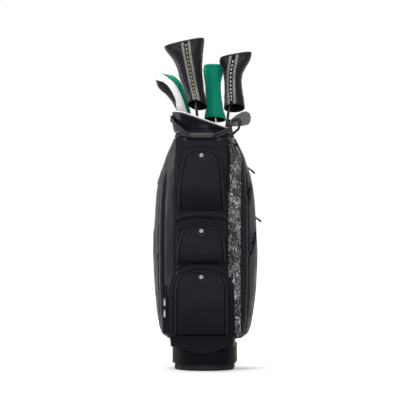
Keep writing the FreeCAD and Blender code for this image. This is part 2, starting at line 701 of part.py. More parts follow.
def main():
    os.makedirs("parts", exist_ok=True)
    save("base_foot", make_foot())
    save("base_collar", make_collar())
    save("rear_feet", make_rear_feet())
    save("floor_pad", make_floor_pad())
    save("base_screws", make_screws())

    save("body_tube", make_tube())
    save("support_rods", make_support_rods())
    panel = save("front_panel", make_front_panel())
    save("spine_pad", make_spine_pad())

    straight_zip = make_straight_zip()
    lugs = [make_right_lug(name) for name in RIGHT_TABS]
    right = make_side(1)
    stripe_box = box(0, STRIPE_X, -260, -30, 0, 900)
    stripe = save("stripe_panel", right.common(stripe_box))
    right_pocket = save("right_pocket", right.cut(stripe_box).cut(Part.makeCompound(lugs)))
    left_pocket = save("left_pocket", make_side(-1).cut(straight_zip))
    skin = Part.makeCompound([stripe, right_pocket, left_pocket])

    bands, studs = [], []
    for name in FRONT_POCKETS:
        pocket = save(name + "_pocket", make_front_pocket(name, panel))
        bands += make_zip_band(name, panel, pocket).Solids
        studs.append(make_stud(name))
        save(name + "_pull_ring", make_pull_ring(name))
    save("zip_tracks", Part.makeCompound(bands + straight_zip.Solids + lugs))
    save("pocket_studs", Part.makeCompound(studs))
    for name in SLIDER_Z:
        save("left_slider_" + name, make_slider(name))
        save("left_tab_" + name, make_tab(name))
    for name in RIGHT_TABS:
        save("right_tab_" + name, make_right_tab(name))

    cuff, edging = make_cuff()
    save("top_cuff", cuff)
    save("rim_edging", edging)
    save("cuff_handles", make_cuff_handles())
    save("divider_grid", make_grid())
    save("divider_sheets", make_sheets())
    strap = save("handle_strap", make_handle_strap())
    save("handle_grip", make_handle_grip(strap))
    save("handle_tabs", make_handle_tabs())
    save("handle_rivets", make_handle_rivets(panel))
    save("towel_ring", make_towel_ring())
    save("towel_tab", make_towel_tab(skin))

    pad, webbing, buckle, anchors = make_carry_strap()
    spine = make_spine_pad()
    save("strap_pad", pad)
    save("strap_buckle", buckle)
    save("shoulder_strap", webbing.cut(anchors))
    save("strap_anchors", anchors.cut(spine))

    for name, club in CLUBS.items():
        save(name + "_shaft", club.make_shaft())
        save(name + "_grip", club.make_grip())
    for name in COVERS:
        save(name + "_head", make_covered_head(name))
        save(name + "_cover", make_cover(name))
    save("wedge_head", make_wedge_head())


main()
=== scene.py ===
import math

import bpy
import numpy as np
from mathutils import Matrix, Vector


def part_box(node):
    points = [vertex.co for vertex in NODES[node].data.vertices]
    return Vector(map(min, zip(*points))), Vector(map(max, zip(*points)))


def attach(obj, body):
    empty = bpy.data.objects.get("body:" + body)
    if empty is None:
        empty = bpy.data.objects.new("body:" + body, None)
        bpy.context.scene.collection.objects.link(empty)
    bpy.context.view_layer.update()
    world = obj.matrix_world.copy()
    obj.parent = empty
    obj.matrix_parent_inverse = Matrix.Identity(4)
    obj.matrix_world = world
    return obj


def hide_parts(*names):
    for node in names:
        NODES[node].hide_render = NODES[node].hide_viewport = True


# Free-standing golf bag with clubs in headcovers. Lengths are in metres unless a name says mm.
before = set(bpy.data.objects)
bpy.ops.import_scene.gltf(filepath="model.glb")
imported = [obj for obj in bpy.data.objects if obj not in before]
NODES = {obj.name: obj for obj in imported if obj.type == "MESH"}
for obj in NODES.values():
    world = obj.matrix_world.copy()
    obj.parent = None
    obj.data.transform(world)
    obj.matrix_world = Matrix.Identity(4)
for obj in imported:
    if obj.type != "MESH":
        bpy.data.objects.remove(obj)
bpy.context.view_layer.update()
MM = 0.001


# ---- shapes of numbers ----
def smoothstep(t):
    t = np.clip(t, 0.0, 1.0)
    return t * t * (3 - 2 * t)


def unit(vectors):
    length = np.linalg.norm(vectors, axis=-1, keepdims=True)
    return vectors / np.maximum(length, 1e-12)


def bump_line(distance, width):
    """1 on the line, falling to 0 within a few widths of it."""
    return np.exp(-(distance / width) ** 2)


def edge_round(distance, radius):
    """How far a rounded edge drops below the face at a distance from the border."""
    t = np.clip(1 - distance / radius, 0, 1)
    return radius * (1 - np.sqrt(1 - t ** 2))


def ripple(points, scale, seed, stretch=1.0):
    """Smooth pseudo-random height in about -1..1 over points, made of sine waves in seeded directions."""
    points = points * np.array([1, 1, stretch])
    rng = np.random.RandomState(seed)
    total = np.zeros(points.shape[:-1])
    for octave in range(3):
        for _ in range(4):
            direction = unit(rng.normal(size=3)) * (2 * math.pi * 1.7 ** octave / scale)
            total += np.sin(points @ direction + rng.uniform(0, 6.28)) / (4 * 1.6 ** octave)
    return total


def signed_power(value, power):
    return np.sign(value) * np.abs(value) ** power


def full_turn(count):
    return np.linspace(0, 2 * math.pi, count, endpoint=False)


# ---- lines of points ----
def run_lengths(line):
    """Distance along a line at each of its points."""
    return np.concatenate([[0], np.cumsum(np.linalg.norm(np.diff(line, axis=0), axis=1))])


def resample(path, step):
    """Points at even spacing along a path."""
    lengths = run_lengths(path)
    at = np.linspace(0, lengths[-1], max(2, int(round(lengths[-1] / step)) + 1))
    return np.stack([np.interp(at, lengths, path[:, k]) for k in range(3)], axis=1)


def curve_through(points, samples=12):
    """Smooth Catmull-Rom curve through points."""
    ends = np.concatenate([[2 * points[0] - points[1]], points, [2 * points[-1] - points[-2]]])
    out = []
    t = np.linspace(0, 1, samples, endpoint=False)[:, None]
    for a, b, c, d in zip(ends, ends[1:], ends[2:], ends[3:]):
        out.append(0.5 * (2 * b + (c - a) * t + (2 * a - 5 * b + 4 * c - d) * t ** 2
                          + (3 * b - a - 3 * c + d) * t ** 3))
    return np.concatenate(out + [points[-1:]])


def directions(line):
    return unit(np.gradient(line, axis=0))


# ---- meshes ----
def build(name, verts, faces, material, uvs=None, smooth=True, materials=(), kinds=None):
    """Mesh object from points and faces. uvs is one (u, v) in metres for each vertex; kinds is the number
    of each face's material."""
    mesh = bpy.data.meshes.new(name)
    mesh.from_pydata([tuple(map(float, v)) for v in verts], [], [tuple(map(int, f)) for f in faces])
    if uvs is not None:
        layer = mesh.uv_layers.new(name="weave")
        index = np.zeros(len(mesh.loops), np.int32)
        mesh.loops.foreach_get("vertex_index", index)
        layer.data.foreach_set("uv", np.asarray(uvs, np.float32)[index].ravel())
    mesh.polygons.foreach_set("use_smooth", [smooth] * len(mesh.polygons))
    for each in [material, *materials]:
        mesh.materials.append(each)
    if kinds is not None:
        mesh.polygons.foreach_set("material_index", np.asarray(kinds, np.int32))
    mesh.validate()
    mesh.update()
    obj = bpy.data.objects.new(name, mesh)
    bpy.context.scene.collection.objects.link(obj)
    return obj


def grid_quads(rows, cols, start=0, wrap=False, flip=False):
    quads = []
    for i in range(rows - 1):
        for j in range(cols if wrap else cols - 1):
            a, b = start + i * cols + j, start + i * cols + (j + 1) % cols
            quad = (a, b, b + cols, a + cols)
            quads.append(quad[::-1] if flip else quad)
    return quads


def ring_faces(rows, sides, closed=False):
    """Faces of a row of rings: capped at both ends, or with the last ring joined to the first."""
    faces = grid_quads(rows, sides, wrap=True)
    last = (rows - 1) * sides
    if closed:
        return faces + [(last + j, last + (j + 1) % sides, (j + 1) % sides, j) for j in range(sides)]
    return faces + [tuple(range(sides))[::-1], tuple(last + j for j in range(sides))]


def grid_uv(points):
    """(u, v) in metres from the distances along each row, from its middle, and down each column."""
    across = np.array([run_lengths(row) for row in points])
    down = np.array([run_lengths(column) for column in points.transpose(1, 0, 2)]).T
    return np.stack([across - across[:, -1:] / 2, down], axis=-1).reshape(-1, 2)


def rings(name, rows, material):
    """Closed piece from a grid of rings, with caps at its ends."""
    rows = np.array(rows)
    return build(name, rows.reshape(-1, 3), ring_faces(*rows.shape[:2]), material, grid_uv(rows))


def slab(name, outer, inner, material, flip=False):
    """Closed piece between two grids of points of the same size, joined round their four borders."""
    rows, cols = outer.shape[:2]
    count = rows * cols
    faces = grid_quads(rows, cols, flip=flip) + grid_quads(rows, cols, start=count, flip=not flip)
    border = [*range(cols)] + [i * cols + cols - 1 for i in range(1, rows)]
    border += [(rows - 1) * cols + j for j in range(cols - 2, -1, -1)]
    border += [i * cols for i in range(rows - 2, 0, -1)]
    for a, b in zip(border, border[1:] + border[:1]):
        quad = (a, a + count, b + count, b)
        faces.append(quad[::-1] if flip else quad)
    verts = np.concatenate([outer.reshape(-1, 3), inner.reshape(-1, 3)])
    return build(name, verts, faces, material, np.concatenate([grid_uv(outer), grid_uv(inner)]))


def tube_mesh(path, radius, sides=8, closed=False, squash=(1.0, 1.0)):
    """Vertices and faces of a round bar along a path of points."""
    count = len(path)
    run = unit(np.roll(path, -1, 0) - np.roll(path, 1, 0)) if closed else directions(path)
    normal = np.zeros_like(path)
    guess = np.array([0.0, 0.0, 1.0]) if abs(run[0][2]) < 0.9 else np.array([1.0, 0.0, 0.0])
    for i in range(count):
        guess = guess - run[i] * (guess @ run[i])
        guess = guess / np.linalg.norm(guess)
        normal[i] = guess
    side = np.cross(run, normal)
    turn = np.arange(sides) * 2 * math.pi / sides
    radius = np.broadcast_to(radius, (count,))[:, None, None]
    ring = (normal[:, None, :] * np.cos(turn)[None, :, None] * squash[0]
            + side[:, None, :] * np.sin(turn)[None, :, None] * squash[1])
    return (path[:, None, :] + ring * radius).reshape(-1, 3), ring_faces(count, sides, closed)


def joined(name, parts, material, smooth=True):
    """One object from several (vertices, faces) parts."""
    verts, faces = [], []
    for part_verts, part_faces in parts:
        start = len(verts)
        verts.extend(part_verts)
        faces.extend(tuple(start + v for v in face) for face in part_faces)
    return build(name, verts, faces, material, smooth=smooth)


def ride(obj, body, slot=None, replaces=(), padded=None):
    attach(obj, body)
    if replaces:
        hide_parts(*replaces)
    return obj


FABRIC = ("bag", "bag_fabric")               # body and slot of most of the trim


def pipe(name, path, radius, material="fabric_edge", sides=8, on=FABRIC, replaces=(), **shape):
    """Piping, cord or bar along a path."""
    verts, faces = tube_mesh(path, radius, sides, **shape)
    ride(build(name, verts, faces, MAT[material]), *on, replaces)


STITCH_LENGTH, STITCH_GAP, THREAD_R = 3.4 * MM, 1.4 * MM, 0.42 * MM


def sew(name, lines, thread="thread", on=FABRIC, length=STITCH_LENGTH):
    """Small lozenges of thread, one for each stitch along the lines."""
    parts = []
    for line in lines:
        fine = resample(line, (length + STITCH_GAP) / 4)
        for i in range(0, len(fine) - 3, 4):
            parts.append(tube_mesh(fine[i:i + 4], np.array([0.45, 1.0, 1.0, 0.45]) * THREAD_R, sides=5))
    ride(joined(name, parts, MAT[thread]), *on)


# ---- materials ----
class Shader:
    """Small helper that builds one node material."""

    def __init__(self, name, roughness, **sockets):
        self.material = bpy.data.materials.new(name)
        self.material.use_nodes = True
        self.tree = self.material.node_tree
        self.shader = self.tree.nodes["Principled BSDF"]
        self.shader.inputs["Roughness"].default_value = roughness
        for socket, value in sockets.items():
            self.shader.inputs[socket.replace("_", " ")].default_value = value
        self.places = self.tree.nodes.new("ShaderNodeTexCoord").outputs["Object"]

    def plug(self, value, socket):
        """Link an output to a socket, or set the socket to a value."""
        if isinstance(value, bpy.types.NodeSocket):
            self.tree.links.new(value, socket)
        else:
            socket.default_value = value

    def node(self, kind, inputs=(), **settings):
        made = self.tree.nodes.new("ShaderNode" + kind)
        for key, value in settings.items():
            setattr(made, key, value)
        for key, value in dict(inputs).items():
            self.plug(value, made.inputs[key])
        return made

    def noise(self, scale, detail=2.0, rough=0.5, distortion=0.0, at=None, output="Fac"):
        inputs = {"Vector": self.places if at is None else at, "Scale": scale, "Detail": detail,
                  "Roughness": rough, "Distortion": distortion}
        return self.node("TexNoise", inputs).outputs[output]

    def stretched(self, scale):
        return self.node("Mapping", {"Vector": self.places, "Scale": scale}).outputs["Vector"]

    def math(self, operation, a, b=0.0):
        return self.node("Math", {0: a, 1: b}, operation=operation).outputs[0]

    def spread(self, value, low, high, to_low, to_high):
        inputs = {"Value": value, "From Min": low, "From Max": high, "To Min": to_low, "To Max": to_high}
        return self.node("MapRange", inputs).outputs["Result"]

    def mix(self, share, a, b):
        a, b = ((*colour, 1.0) if isinstance(colour, tuple) else colour for colour in (a, b))
        return self.node("Mix", {0: share, 6: a, 7: b}, data_type="RGBA").outputs[2]

    def weave(self, pitch, uv=True):
        """Height of a plain weave with threads at the given pitch."""
        at = self.node("UVMap", uv_map="weave").outputs["UV"] if uv else self.places
        parts = self.node("SeparateXYZ", {0: at}).outputs
        warp, weft = parts[0], parts[1]
        if not uv:
            warp, weft = self.math("ADD", parts[0], parts[1]), parts[2]
        waves = [self.math("ABSOLUTE", self.math("SINE", self.math("MULTIPLY", along, 2 * math.pi / pitch)))
                 for along in (warp, weft)]
        return self.math("MULTIPLY", *waves)

    def finish(self, colour, roughness=None, height=None, height_mm=0.1):
        self.plug((*colour, 1.0) if isinstance(colour, tuple) else colour, self.shader.inputs["Base Color"])
        if roughness is not None:
            self.plug(roughness, self.shader.inputs["Roughness"])
        if height is not None:
            bump = self.node("Bump", {"Height": height, "Distance": height_mm * MM, "Strength": 1.0})
            self.plug(bump.outputs["Normal"], self.shader.inputs["Normal"])
        return self.material


COOL_TINT = (0.86, 0.83, 1.0, 1.0)           # highlights on the black parts lean slightly to blue
BLUE_LEAN, BLUE_FADE = 0.75, 0.009           # so does their colour, the more so the darker the grey is


def grey(value):
    return (value * 1.01, value, value * (1.03 + BLUE_LEAN * math.exp(-value / BLUE_FADE)))


def fabric(name, level, roughness=0.62, pitch_mm=0.9, uv=True, worn=1.5, shine=0.11):
    """Coated woven fabric with a faint weave, uneven sheen and lighter rubbed patches."""
    s = Shader(name, roughness, Sheen_Weight=0.012, Sheen_Roughness=0.4, Specular_IOR_Level=shine,
               Sheen_Tint=(0.75, 0.75, 0.85, 1), Specular_Tint=COOL_TINT)
    threads = s.weave(pitch_mm * MM, uv)
    cloudy = s.noise(14, 4)
    colour = s.mix(s.math("MULTIPLY", cloudy, 0.8), grey(level * 0.75), grey(level * worn))
    colour = s.mix(s.math("MULTIPLY", threads, 0.35), colour, grey(level * 1.7))
    height = s.math("ADD", threads, s.math("MULTIPLY", s.noise(900, 2), 0.6))
    return s.finish(colour, s.spread(cloudy, 0.3, 0.7, roughness - 0.07, roughness + 0.08), height, 0.11)


LEATHER_GRAIN = 1.3 * MM


def leather(name, colour, roughness=0.42, depth=0.12, contrast=0.75, shine=0.2):
    """Smooth grained synthetic leather with creases and colour variation."""
    s = Shader(name, roughness, Specular_IOR_Level=shine)
    cells = s.node("TexVoronoi", {"Vector": s.places, "Scale": 1 / LEATHER_GRAIN}, feature="F1")
    grain = cells.outputs["Distance"]
    creases = s.noise(45, 5, 0.6, distortion=0.6)
    dark = tuple(c * contrast for c in colour)
    shade = s.mix(s.spread(s.noise(11, 3), 0.3, 0.7, 0.0, 1.0), dark, colour)
    height = s.math("ADD", s.math("MULTIPLY", grain, 0.7), s.math("MULTIPLY", creases, 4.0))
    return s.finish(shade, s.spread(creases, 0.3, 0.7, roughness - 0.06, roughness + 0.1), height, depth)


def plastic(name, level, roughness, depth=0.05, coat=0.0, shine=0.3):
    """Moulded plastic with a fine spark-eroded texture and slightly uneven gloss."""
    s = Shader(name, roughness, Specular_IOR_Level=shine, Coat_Weight=coat, Coat_Roughness=0.18,
               Specular_Tint=COOL_TINT)
    cloudy = s.noise(18, 4)
    colour = s.mix(cloudy, grey(level * 0.8), grey(level * 1.3))
    gloss = s.spread(cloudy, 0.3, 0.7, roughness - 0.05, roughness + 0.06)
    return s.finish(colour, gloss, s.noise(700, 2), depth)


def webbing(name, level):
    """Coarse ribbed webbing."""
    s = Shader(name, 0.7, Sheen_Weight=0.03, Specular_IOR_Level=0.15)
    threads = s.weave(1.6 * MM, uv=False)
    colour = s.mix(threads, grey(level * 0.6), grey(level * 1.5))
    return s.finish(colour, None, s.math("ADD", threads, s.math("MULTIPLY", s.noise(600, 3), 0.4)), 0.35)


def metal(name, colour, roughness, streaks=(1, 1, 18)):
    """Brushed or drawn metal, streaked along z."""
    s = Shader(name, roughness, Metallic=1.0)
    brushed = s.noise(120, 4, at=s.stretched(streaks))
    shade = s.mix(brushed, tuple(c * 0.82 for c in colour), colour)
    return s.finish(shade, s.spread(brushed, 0.3, 0.7, roughness - 0.06, roughness + 0.08), brushed, 0.02)


def rubber(name, level, roughness=0.7, depth=0.15):
    s = Shader(name, roughness, Specular_IOR_Level=0.15)
    colour = s.mix(s.noise(25, 3), grey(level * 0.8), grey(level * 1.35))
    return s.finish(colour, None, s.noise(420, 4), depth)


def marbled(name):
    """Printed fabric with generic grey and black marbling: warped bands and fine light veins."""
    s = Shader(name, 0.5, Specular_IOR_Level=0.2)
    warp = s.noise(26.0, 4.0, output="Color")
    bent = s.node("MixRGB", {"Fac": 0.11, "Color1": s.places, "Color2": warp}, blend_type="ADD")
    moved = bent.outputs["Color"]
    clouds = s.noise(34.0, 5.0, 0.62, at=moved)
    levels = s.math("MULTIPLY", s.noise(32.0, at=s.stretched((1.0, 1.0, 0.6))), 34.0)
    veins = s.spread(s.math("ABSOLUTE", s.math("SINE", levels)), 0.05, 0.55, 1.0, 0.0)
    base = s.mix(s.spread(clouds, 0.52, 0.66, 0.0, 1.0), (0.008, 0.008, 0.010), (0.13, 0.13, 0.14))
    strength = s.math("MULTIPLY", veins, s.spread(clouds, 0.40, 0.58, 0.10, 1.0))
    return s.finish(s.mix(strength, base, (0.72, 0.72, 0.75)), None, s.weave(0.9 * MM), 0.1)


def printed_stripe(name):
    """Light woven tape with darker flecks and larger darker patches, as printed along the leather covers."""
    s = Shader(name, 0.5, Specular_IOR_Level=0.5)
    flecks = s.noise(260, 3, 0.7)
    shade = s.mix(s.spread(flecks, 0.42, 0.6, 0.0, 1.0), (0.04, 0.04, 0.045), (0.30, 0.30, 0.31))
    shade = s.mix(s.spread(s.noise(30, 3), 0.35, 0.65, 0.0, 0.8), shade, (0.09, 0.09, 0.095))
    return s.finish(shade, None, flecks, 0.08)


MAT = {
    "fabric": fabric("bag_fabric", 0.0026, 0.40, shine=0.12),
    "fabric_edge": fabric("bag_piping", 0.0022, 0.55, shine=0.10),
    # near-black fabric: painted shade in the pocket mouths and along the front panel's edge gaps, and the real
    # black of the cord pulls
    "shade_and_cord": fabric("painted_shade_and_cord_black", 0.0010, 0.9, shine=0.02),
    "fabric_top": fabric("bag_fabric_panel", 0.0036, 0.5, shine=0.09),
    "air_mesh": fabric("air_mesh", 0.016, 0.8, pitch_mm=4.0),
    "marble": marbled("marbled_print"),
    "webbing": webbing("black_webbing", 0.009),
    "grip": fabric("grip_sleeve", 0.060, 0.6, pitch_mm=1.4, worn=1.25),
    "cuff": plastic("cuff_plastic", 0.0026, 0.34, shine=0.06),
    "cuff_lip": plastic("cuff_lip_plastic", 0.013, 0.42, shine=0.2),
    "base": plastic("base_plastic", 0.0030, 0.5, shine=0.05),
    "grid": plastic("grid_plastic", 0.02, 0.5),
    "liner": plastic("tube_liner", 0.02, 0.6),
    "edging": plastic("light_edging", 0.62, 0.35, depth=0.03),
    "black_part": plastic("black_fittings", 0.012, 0.35),
    "white_part": plastic("white_studs", 0.28, 0.32, depth=0.02),
    "zip_tape": fabric("zip_tape", 0.0028, 0.6, uv=False),
    "zip_coil": plastic("zip_coil", 0.006, 0.45, shine=0.2),
    "silver": metal("satin_silver", (0.42, 0.42, 0.43), 0.3),
    "chrome": metal("chrome_shaft", (0.55, 0.55, 0.57), 0.12, (1, 1, 0.2)),
    "steel": metal("brushed_steel", (0.070, 0.070, 0.080), 0.34),
    "black_metal": metal("black_shaft", (0.03, 0.03, 0.032), 0.22, (1, 1, 0.2)),
    "gloss_black": plastic("club_head_black", 0.012, 0.14, depth=0.01, coat=0.6),
    "rubber": rubber("black_rubber", 0.011),
    # same rubber as the foot but lighter: painted highlight along the foot ribs
    "foot_rib_highlight": rubber("rubber_rib_painted_highlight", 0.030),
    "foam": rubber("floor_foam", 0.03, 0.9, 0.4),
    "black_leather": leather("black_leather", (0.0070, 0.0066, 0.010), 0.38, 0.2, shine=0.12),
    "green_leather": leather("green_leather", (0.0, 0.27, 0.165), 0.5, contrast=0.9, shine=0.08),
    "white_leather": leather("white_leather", (0.86, 0.86, 0.86), 0.5, contrast=0.96),
    "lining": fabric("cover_lining", 0.004, 0.9, uv=False),
    "stripe": printed_stripe("grey_tape"),
    "dash": leather("yellow_green_dashes", (0.42, 0.46, 0.10), 0.5),
    "white_dash": leather("white_dashes", (0.62, 0.62, 0.62), 0.5),
    "thread": fabric("black_thread", 0.02, 0.6, pitch_mm=0.5, uv=False),
    "grey_thread": fabric("grey_thread", 0.22, 0.6, pitch_mm=0.5, uv=False),
}

# CAD nodes by the material that each gets; those that a softer piece replaces get one all the same
CAD_FINISH = {
    "rubber": "base_foot rear_feet driver_grip fairway_grip utility_grip hybrid_grip wedge_grip",
    "base": "base_collar",
    "foam": "floor_pad",
    "steel": "base_screws wedge_head",
    "liner": "body_tube support_rods",
    "white_part": "pocket_studs",
    "black_part": "upper_pull_ring middle_pull_ring lower_pull_ring left_slider_top left_slider_low "
                  "right_tab_top right_tab_low handle_rivets towel_ring strap_buckle",
    "silver": "left_tab_top left_tab_low",
    "cuff": "top_cuff",
    "edging": "rim_edging",
    "cuff_lip": "cuff_handles",
    "grid": "divider_grid",
    "lining": "divider_sheets",
    "webbing": "handle_strap handle_tabs towel_tab strap_anchors shoulder_strap",
    "grip": "handle_grip",
    "zip_tape": "zip_tracks",
    "fabric": "strap_pad spine_pad front_panel left_pocket right_pocket "
              "upper_pocket middle_pocket lower_pocket",
    "marble": "stripe_panel",
    "black_metal": "driver_shaft fairway_shaft",
    "chrome": "utility_shaft hybrid_shaft wedge_shaft",
    "gloss_black": "driver_head fairway_head utility_head hybrid_head",
    "black_leather": "driver_cover fairway_cover",
    "green_leather": "utility_cover",
    "white_leather": "hybrid_cover",
}


def dress_nodes():
    """Give the CAD nodes their materials."""
    for material, nodes in CAD_FINISH.items():
        for node in nodes.split():
            slots = NODES[node].data.materials
            slots.clear()
            slots.append(MAT[material])


dress_nodes()


# ---- bag body: padded panels over the stiff tube ----
TUBE_R = 0.0995                             # the tube's outside, with a hair of room
SIDE_LOW, SIDE_HIGH = 0.114, 0.831          # foot and top of the side pockets and the stripe
PANEL_HALF, FLARE_HALF = 0.093, 0.117
# half width of the front panel by height: it widens over a shoulder above the lower pocket
PANEL_WIDTHS = np.array([(0.056, 0.112), (0.100, 0.1135), (0.128, FLARE_HALF), (0.285, 0.1125), (0.308, 0.109),
                         (0.325, 0.102), (0.342, PANEL_HALF)])
STRIPE_X = 0.137
SPINE_HALF = 0.062
# height, half width, front y, y of the widest point, rear y, squareness of the front, all in mm but the last
SKIN = np.array([
    (113, 140, -98, 44, 116, 2.9), (122, 151, -104, 46, 121, 2.8), (140, 163, -110, 48, 126, 2.7),
    (211, 176, -118, 50, 133, 2.35), (283, 183.5, -122, 50, 136, 2.2), (427, 189, -124, 50, 138, 2.2),
    (571, 181, -122, 48, 135, 2.2), (643, 174, -120, 46, 132, 2.2), (697, 163, -117, 42, 128, 2.15),
    (733, 151, -114, 36, 124, 2.1), (769, 140, -110, 28, 119, 2.05), (805, 122, -106, 14, 114, 2.0),
    (832, 109, -104, 5, 110, 2.0)])
SKIN[:, :5] *= MM
REAR_SQUARENESS = 2.5
SMOOTH_OVER = 0.014                         # the skin's stations are blended over this height
MIRROR = np.array([-1.0, 1.0, 1.0])


def skin_width(z):
    """Half width of the bag at a height, straight between its stations."""
    return float(np.interp(z, SKIN[:, 0], SKIN[:, 1]))


def skin_row(z):
    """Half width, front y, widest y, rear y and squareness at height z."""
    near = z + np.linspace(-1, 1, 7) * SMOOTH_OVER * min(1.0, (z - 0.112) / 0.03)
    near = np.clip(near, SKIN[0, 0], SKIN[-1, 0])
    return [np.mean(np.interp(near, SKIN[:, 0], SKIN[:, k])) for k in range(1, 6)]


def skin_plan(z, count=361):
    """Right half of the skin's plan at height z, from the front middle round to the rear middle."""
    half, front, widest, rear, square = skin_row(z)
    turn = np.linspace(-math.pi / 2, math.pi / 2, count)
    along, across = np.cos(turn), np.sin(turn)
    power = np.where(across < 0, square, REAR_SQUARENESS)
    depth = np.where(across < 0, widest - front, rear - widest)
    x = half * np.clip(along, 0, 1) ** (2 / power)
    y = widest + np.sign(across) * depth * np.abs(across) ** (2 / power)
    return np.stack([x, y, np.full(count, z)], axis=1)


def skin_front_y(z, x):
    """y of the skin in front of its widest point."""
    plan = skin_plan(z)
    peak = int(np.argmax(plan[:, 0])) + 1
    return float(np.interp(x, plan[:peak, 0], plan[:peak, 1]))


def skin_stretch(z, x_from, x_to, count, rear=False):
    """Evenly spaced points on the skin's right half between two widths, x_to behind the widest point if rear,
    and how far along each of them is."""
    plan = skin_plan(z)
    place = np.arange(len(plan))
    peak = int(np.argmax(plan[:, 0]))
    start, stop = np.interp([x_from, x_to], plan[:peak + 1, 0], place[:peak + 1])
    if rear:
        stop = np.interp(-x_to, -plan[peak:, 0], place[peak:])
    fine = np.linspace(start, stop, 200)
    line = np.stack([np.interp(fine, place, plan[:, k]) for k in range(3)], axis=1)
    lengths = run_lengths(line)
    at = np.linspace(0, lengths[-1], count)
    return np.stack([np.interp(at, lengths, line[:, k]) for k in range(3)], axis=1), at


def panel_half(z):
    """Half width of the front panel, which flares towards the base."""
    return float(np.interp(z, PANEL_WIDTHS[:, 0], PANEL_WIDTHS[:, 1]))


def plan_normals(rows):
    """Outward normals in plan for rows of points that run anticlockwise seen from above."""
    run = unit(np.gradient(rows, axis=1))
    return np.stack([run[..., 1], -run[..., 0], np.zeros(run.shape[:2])], axis=-1)


def on_tube(points):
    """Points of a piece's hidden back, on the tube behind each point of its face."""
    turn = np.arctan2(points[..., 1], points[..., 0])
    return np.stack([TUBE_R * np.cos(turn), TUBE_R * np.sin(turn), points[..., 2]], axis=-1)


# slanted folds of each side: bottom and top height, and y there
FOLDS = {-1: [(0.385, 0.505, -0.035, 0.040)],
         1: [(0.400, 0.505, -0.052, 0.037), (0.592, 0.676, -0.043, 0.026)]}
FRONT_OF_SIDE = 0.045                       # the welted ridge lies before this y


def side_relief(points, side):
    """Outward relief of the side pockets: welted ridge, seams, slanted folds and soft undulation."""
    x, y, z = points[..., 0], points[..., 1], points[..., 2]
    ridge_x = np.interp(z, [0.12, 0.18, 0.30, 0.60, 0.70], [0.139, 0.146, 0.151, 0.150, 0.141])
    reach = smoothstep((z - 0.15) / 0.06) * smoothstep((0.76 - z) / 0.10)
    ridge = np.exp(-np.abs((x - ridge_x) / 0.0062) ** 2.4) * 0.0052
    grooves = -0.0034 * (bump_line(x - ridge_x + 0.0105, 0.0024) + bump_line(x - ridge_x - 0.0100, 0.0024))
    relief = np.where(y < FRONT_OF_SIDE, (ridge + grooves) * reach, 0.0)
    for low, high, low_y, high_y in FOLDS[side]:
        along = (z - low) / (high - low)
        near = np.where((along > -0.1) & (along < 1.1), y - np.interp(z, [low, high], [low_y, high_y]), 9.0)
        fold = -0.0075 * bump_line(near, 0.005) + 0.0035 * bump_line(near + 0.013, 0.008)
        relief = relief + fold * smoothstep((along + 0.1) / 0.3) * smoothstep((1.1 - along) / 0.3)
    # seam across the side near the shoulder, and one above the hem
    relief = relief - 0.0016 * bump_line(z - (0.742 + 0.10 * (y - 0.02)), 0.0022)
    relief = relief - 0.0018 * bump_line(z - 0.138, 0.0022)
    relief = relief + 0.0016 * ripple(points, 0.16, 4 + side, 0.45)
    return relief + 0.0007 * ripple(points, 0.05, 14 + side, 0.7)


def skin_rows(heights, span, count, rear=False):
    """Rows of points on the skin between the two widths that span gives for a height; how far along each
    point is; how long each row is."""
    pairs = [skin_stretch(z, *span(z), count, rear) for z in heights]
    spots = np.array([at for _, at in pairs])
    return np.array([line for line, _ in pairs]), spots, spots[:, -1:]


def side_ends(heights, low_radius):
    """How far the rounded foot and top of a side piece drop."""
    drop = edge_round(heights - SIDE_LOW, low_radius) + edge_round(SIDE_HIGH - heights, 0.006)
    return drop[:, None]


def make_side_pocket(name, side, node):
    """Padded side pocket from the front panel, or from the stripe on the right, round to the spine pad."""
    heights = np.concatenate([np.linspace(SIDE_LOW, 0.135, 12, endpoint=False),
                              np.linspace(0.135, 0.80, 170, endpoint=False), np.linspace(0.80, SIDE_HIGH, 10)])

    def span(z):
        start = STRIPE_X if side > 0 else panel_half(z) + 0.0006
        return min(start, skin_row(z)[0] * 0.97) + 0.0004, SPINE_HALF

    rows, spots, length = skin_rows(heights, span, 110, rear=True)
    drop = edge_round(spots, 0.007) + edge_round(length - spots, 0.009)
    relief = side_relief(rows, side) * smoothstep(spots / 0.02) * smoothstep((length - spots) / 0.02)
    outer = rows + plan_normals(rows) * (relief - drop - side_ends(heights, 0.012))[..., None]
    inner = on_tube(rows)
    if side < 0:
        outer, inner = outer * MIRROR, inner * MIRROR
    ride(slab(name, outer, inner, MAT["fabric"], flip=side < 0), *FABRIC, [node], padded=0.55)
    return outer


def make_stripe():
    """Padded marbled panel between the front panel's piping and the right pocket."""
    heights = np.linspace(SIDE_LOW, SIDE_HIGH, 150)

    def span(z):
        half = skin_row(z)[0]
        start = panel_half(z) + 0.001
        stop = min(STRIPE_X - 0.0004, half * 0.97 - 0.001)
        return min(start, half * 0.9), max(stop, start + 0.006)

    rows, spots, length = skin_rows(heights, span, 26)
    drop = edge_round(spots, 0.004) + edge_round(length - spots, 0.003)
    crown = 0.0015 * np.sin(math.pi * spots / length) + 0.0006 * ripple(rows, 0.07, 31)
    outer = rows + plan_normals(rows) * (crown - drop - side_ends(heights, 0.01))[..., None]
    stripe = slab("marbled_stripe", outer, on_tube(rows), MAT["marble"])
    ride(stripe, "bag", "stripe_fabric", ["stripe_panel"], padded=0.5)


PANEL_PROFILE = np.array([(-116.6, 58), (-118, 92), (-124, 140), (-126, 330), (-124, 560), (-120, 700),
                          (-113, 800), (-109, 832)]) * MM
HEM_LOW, HEM_RISE, HEM_HALF = 0.058, 0.029, 0.107   # lowest point of the flap, and its rise at the sides
HEM_TOP = 0.118


def panel_y(z):
    """y of the front panel's face at the middle, blended between its stations."""
    near = np.asarray(z, float)[..., None] + np.linspace(-1, 1, 5) * 0.02
    return np.mean(np.interp(near, PANEL_PROFILE[:, 1], PANEL_PROFILE[:, 0]), axis=-1)


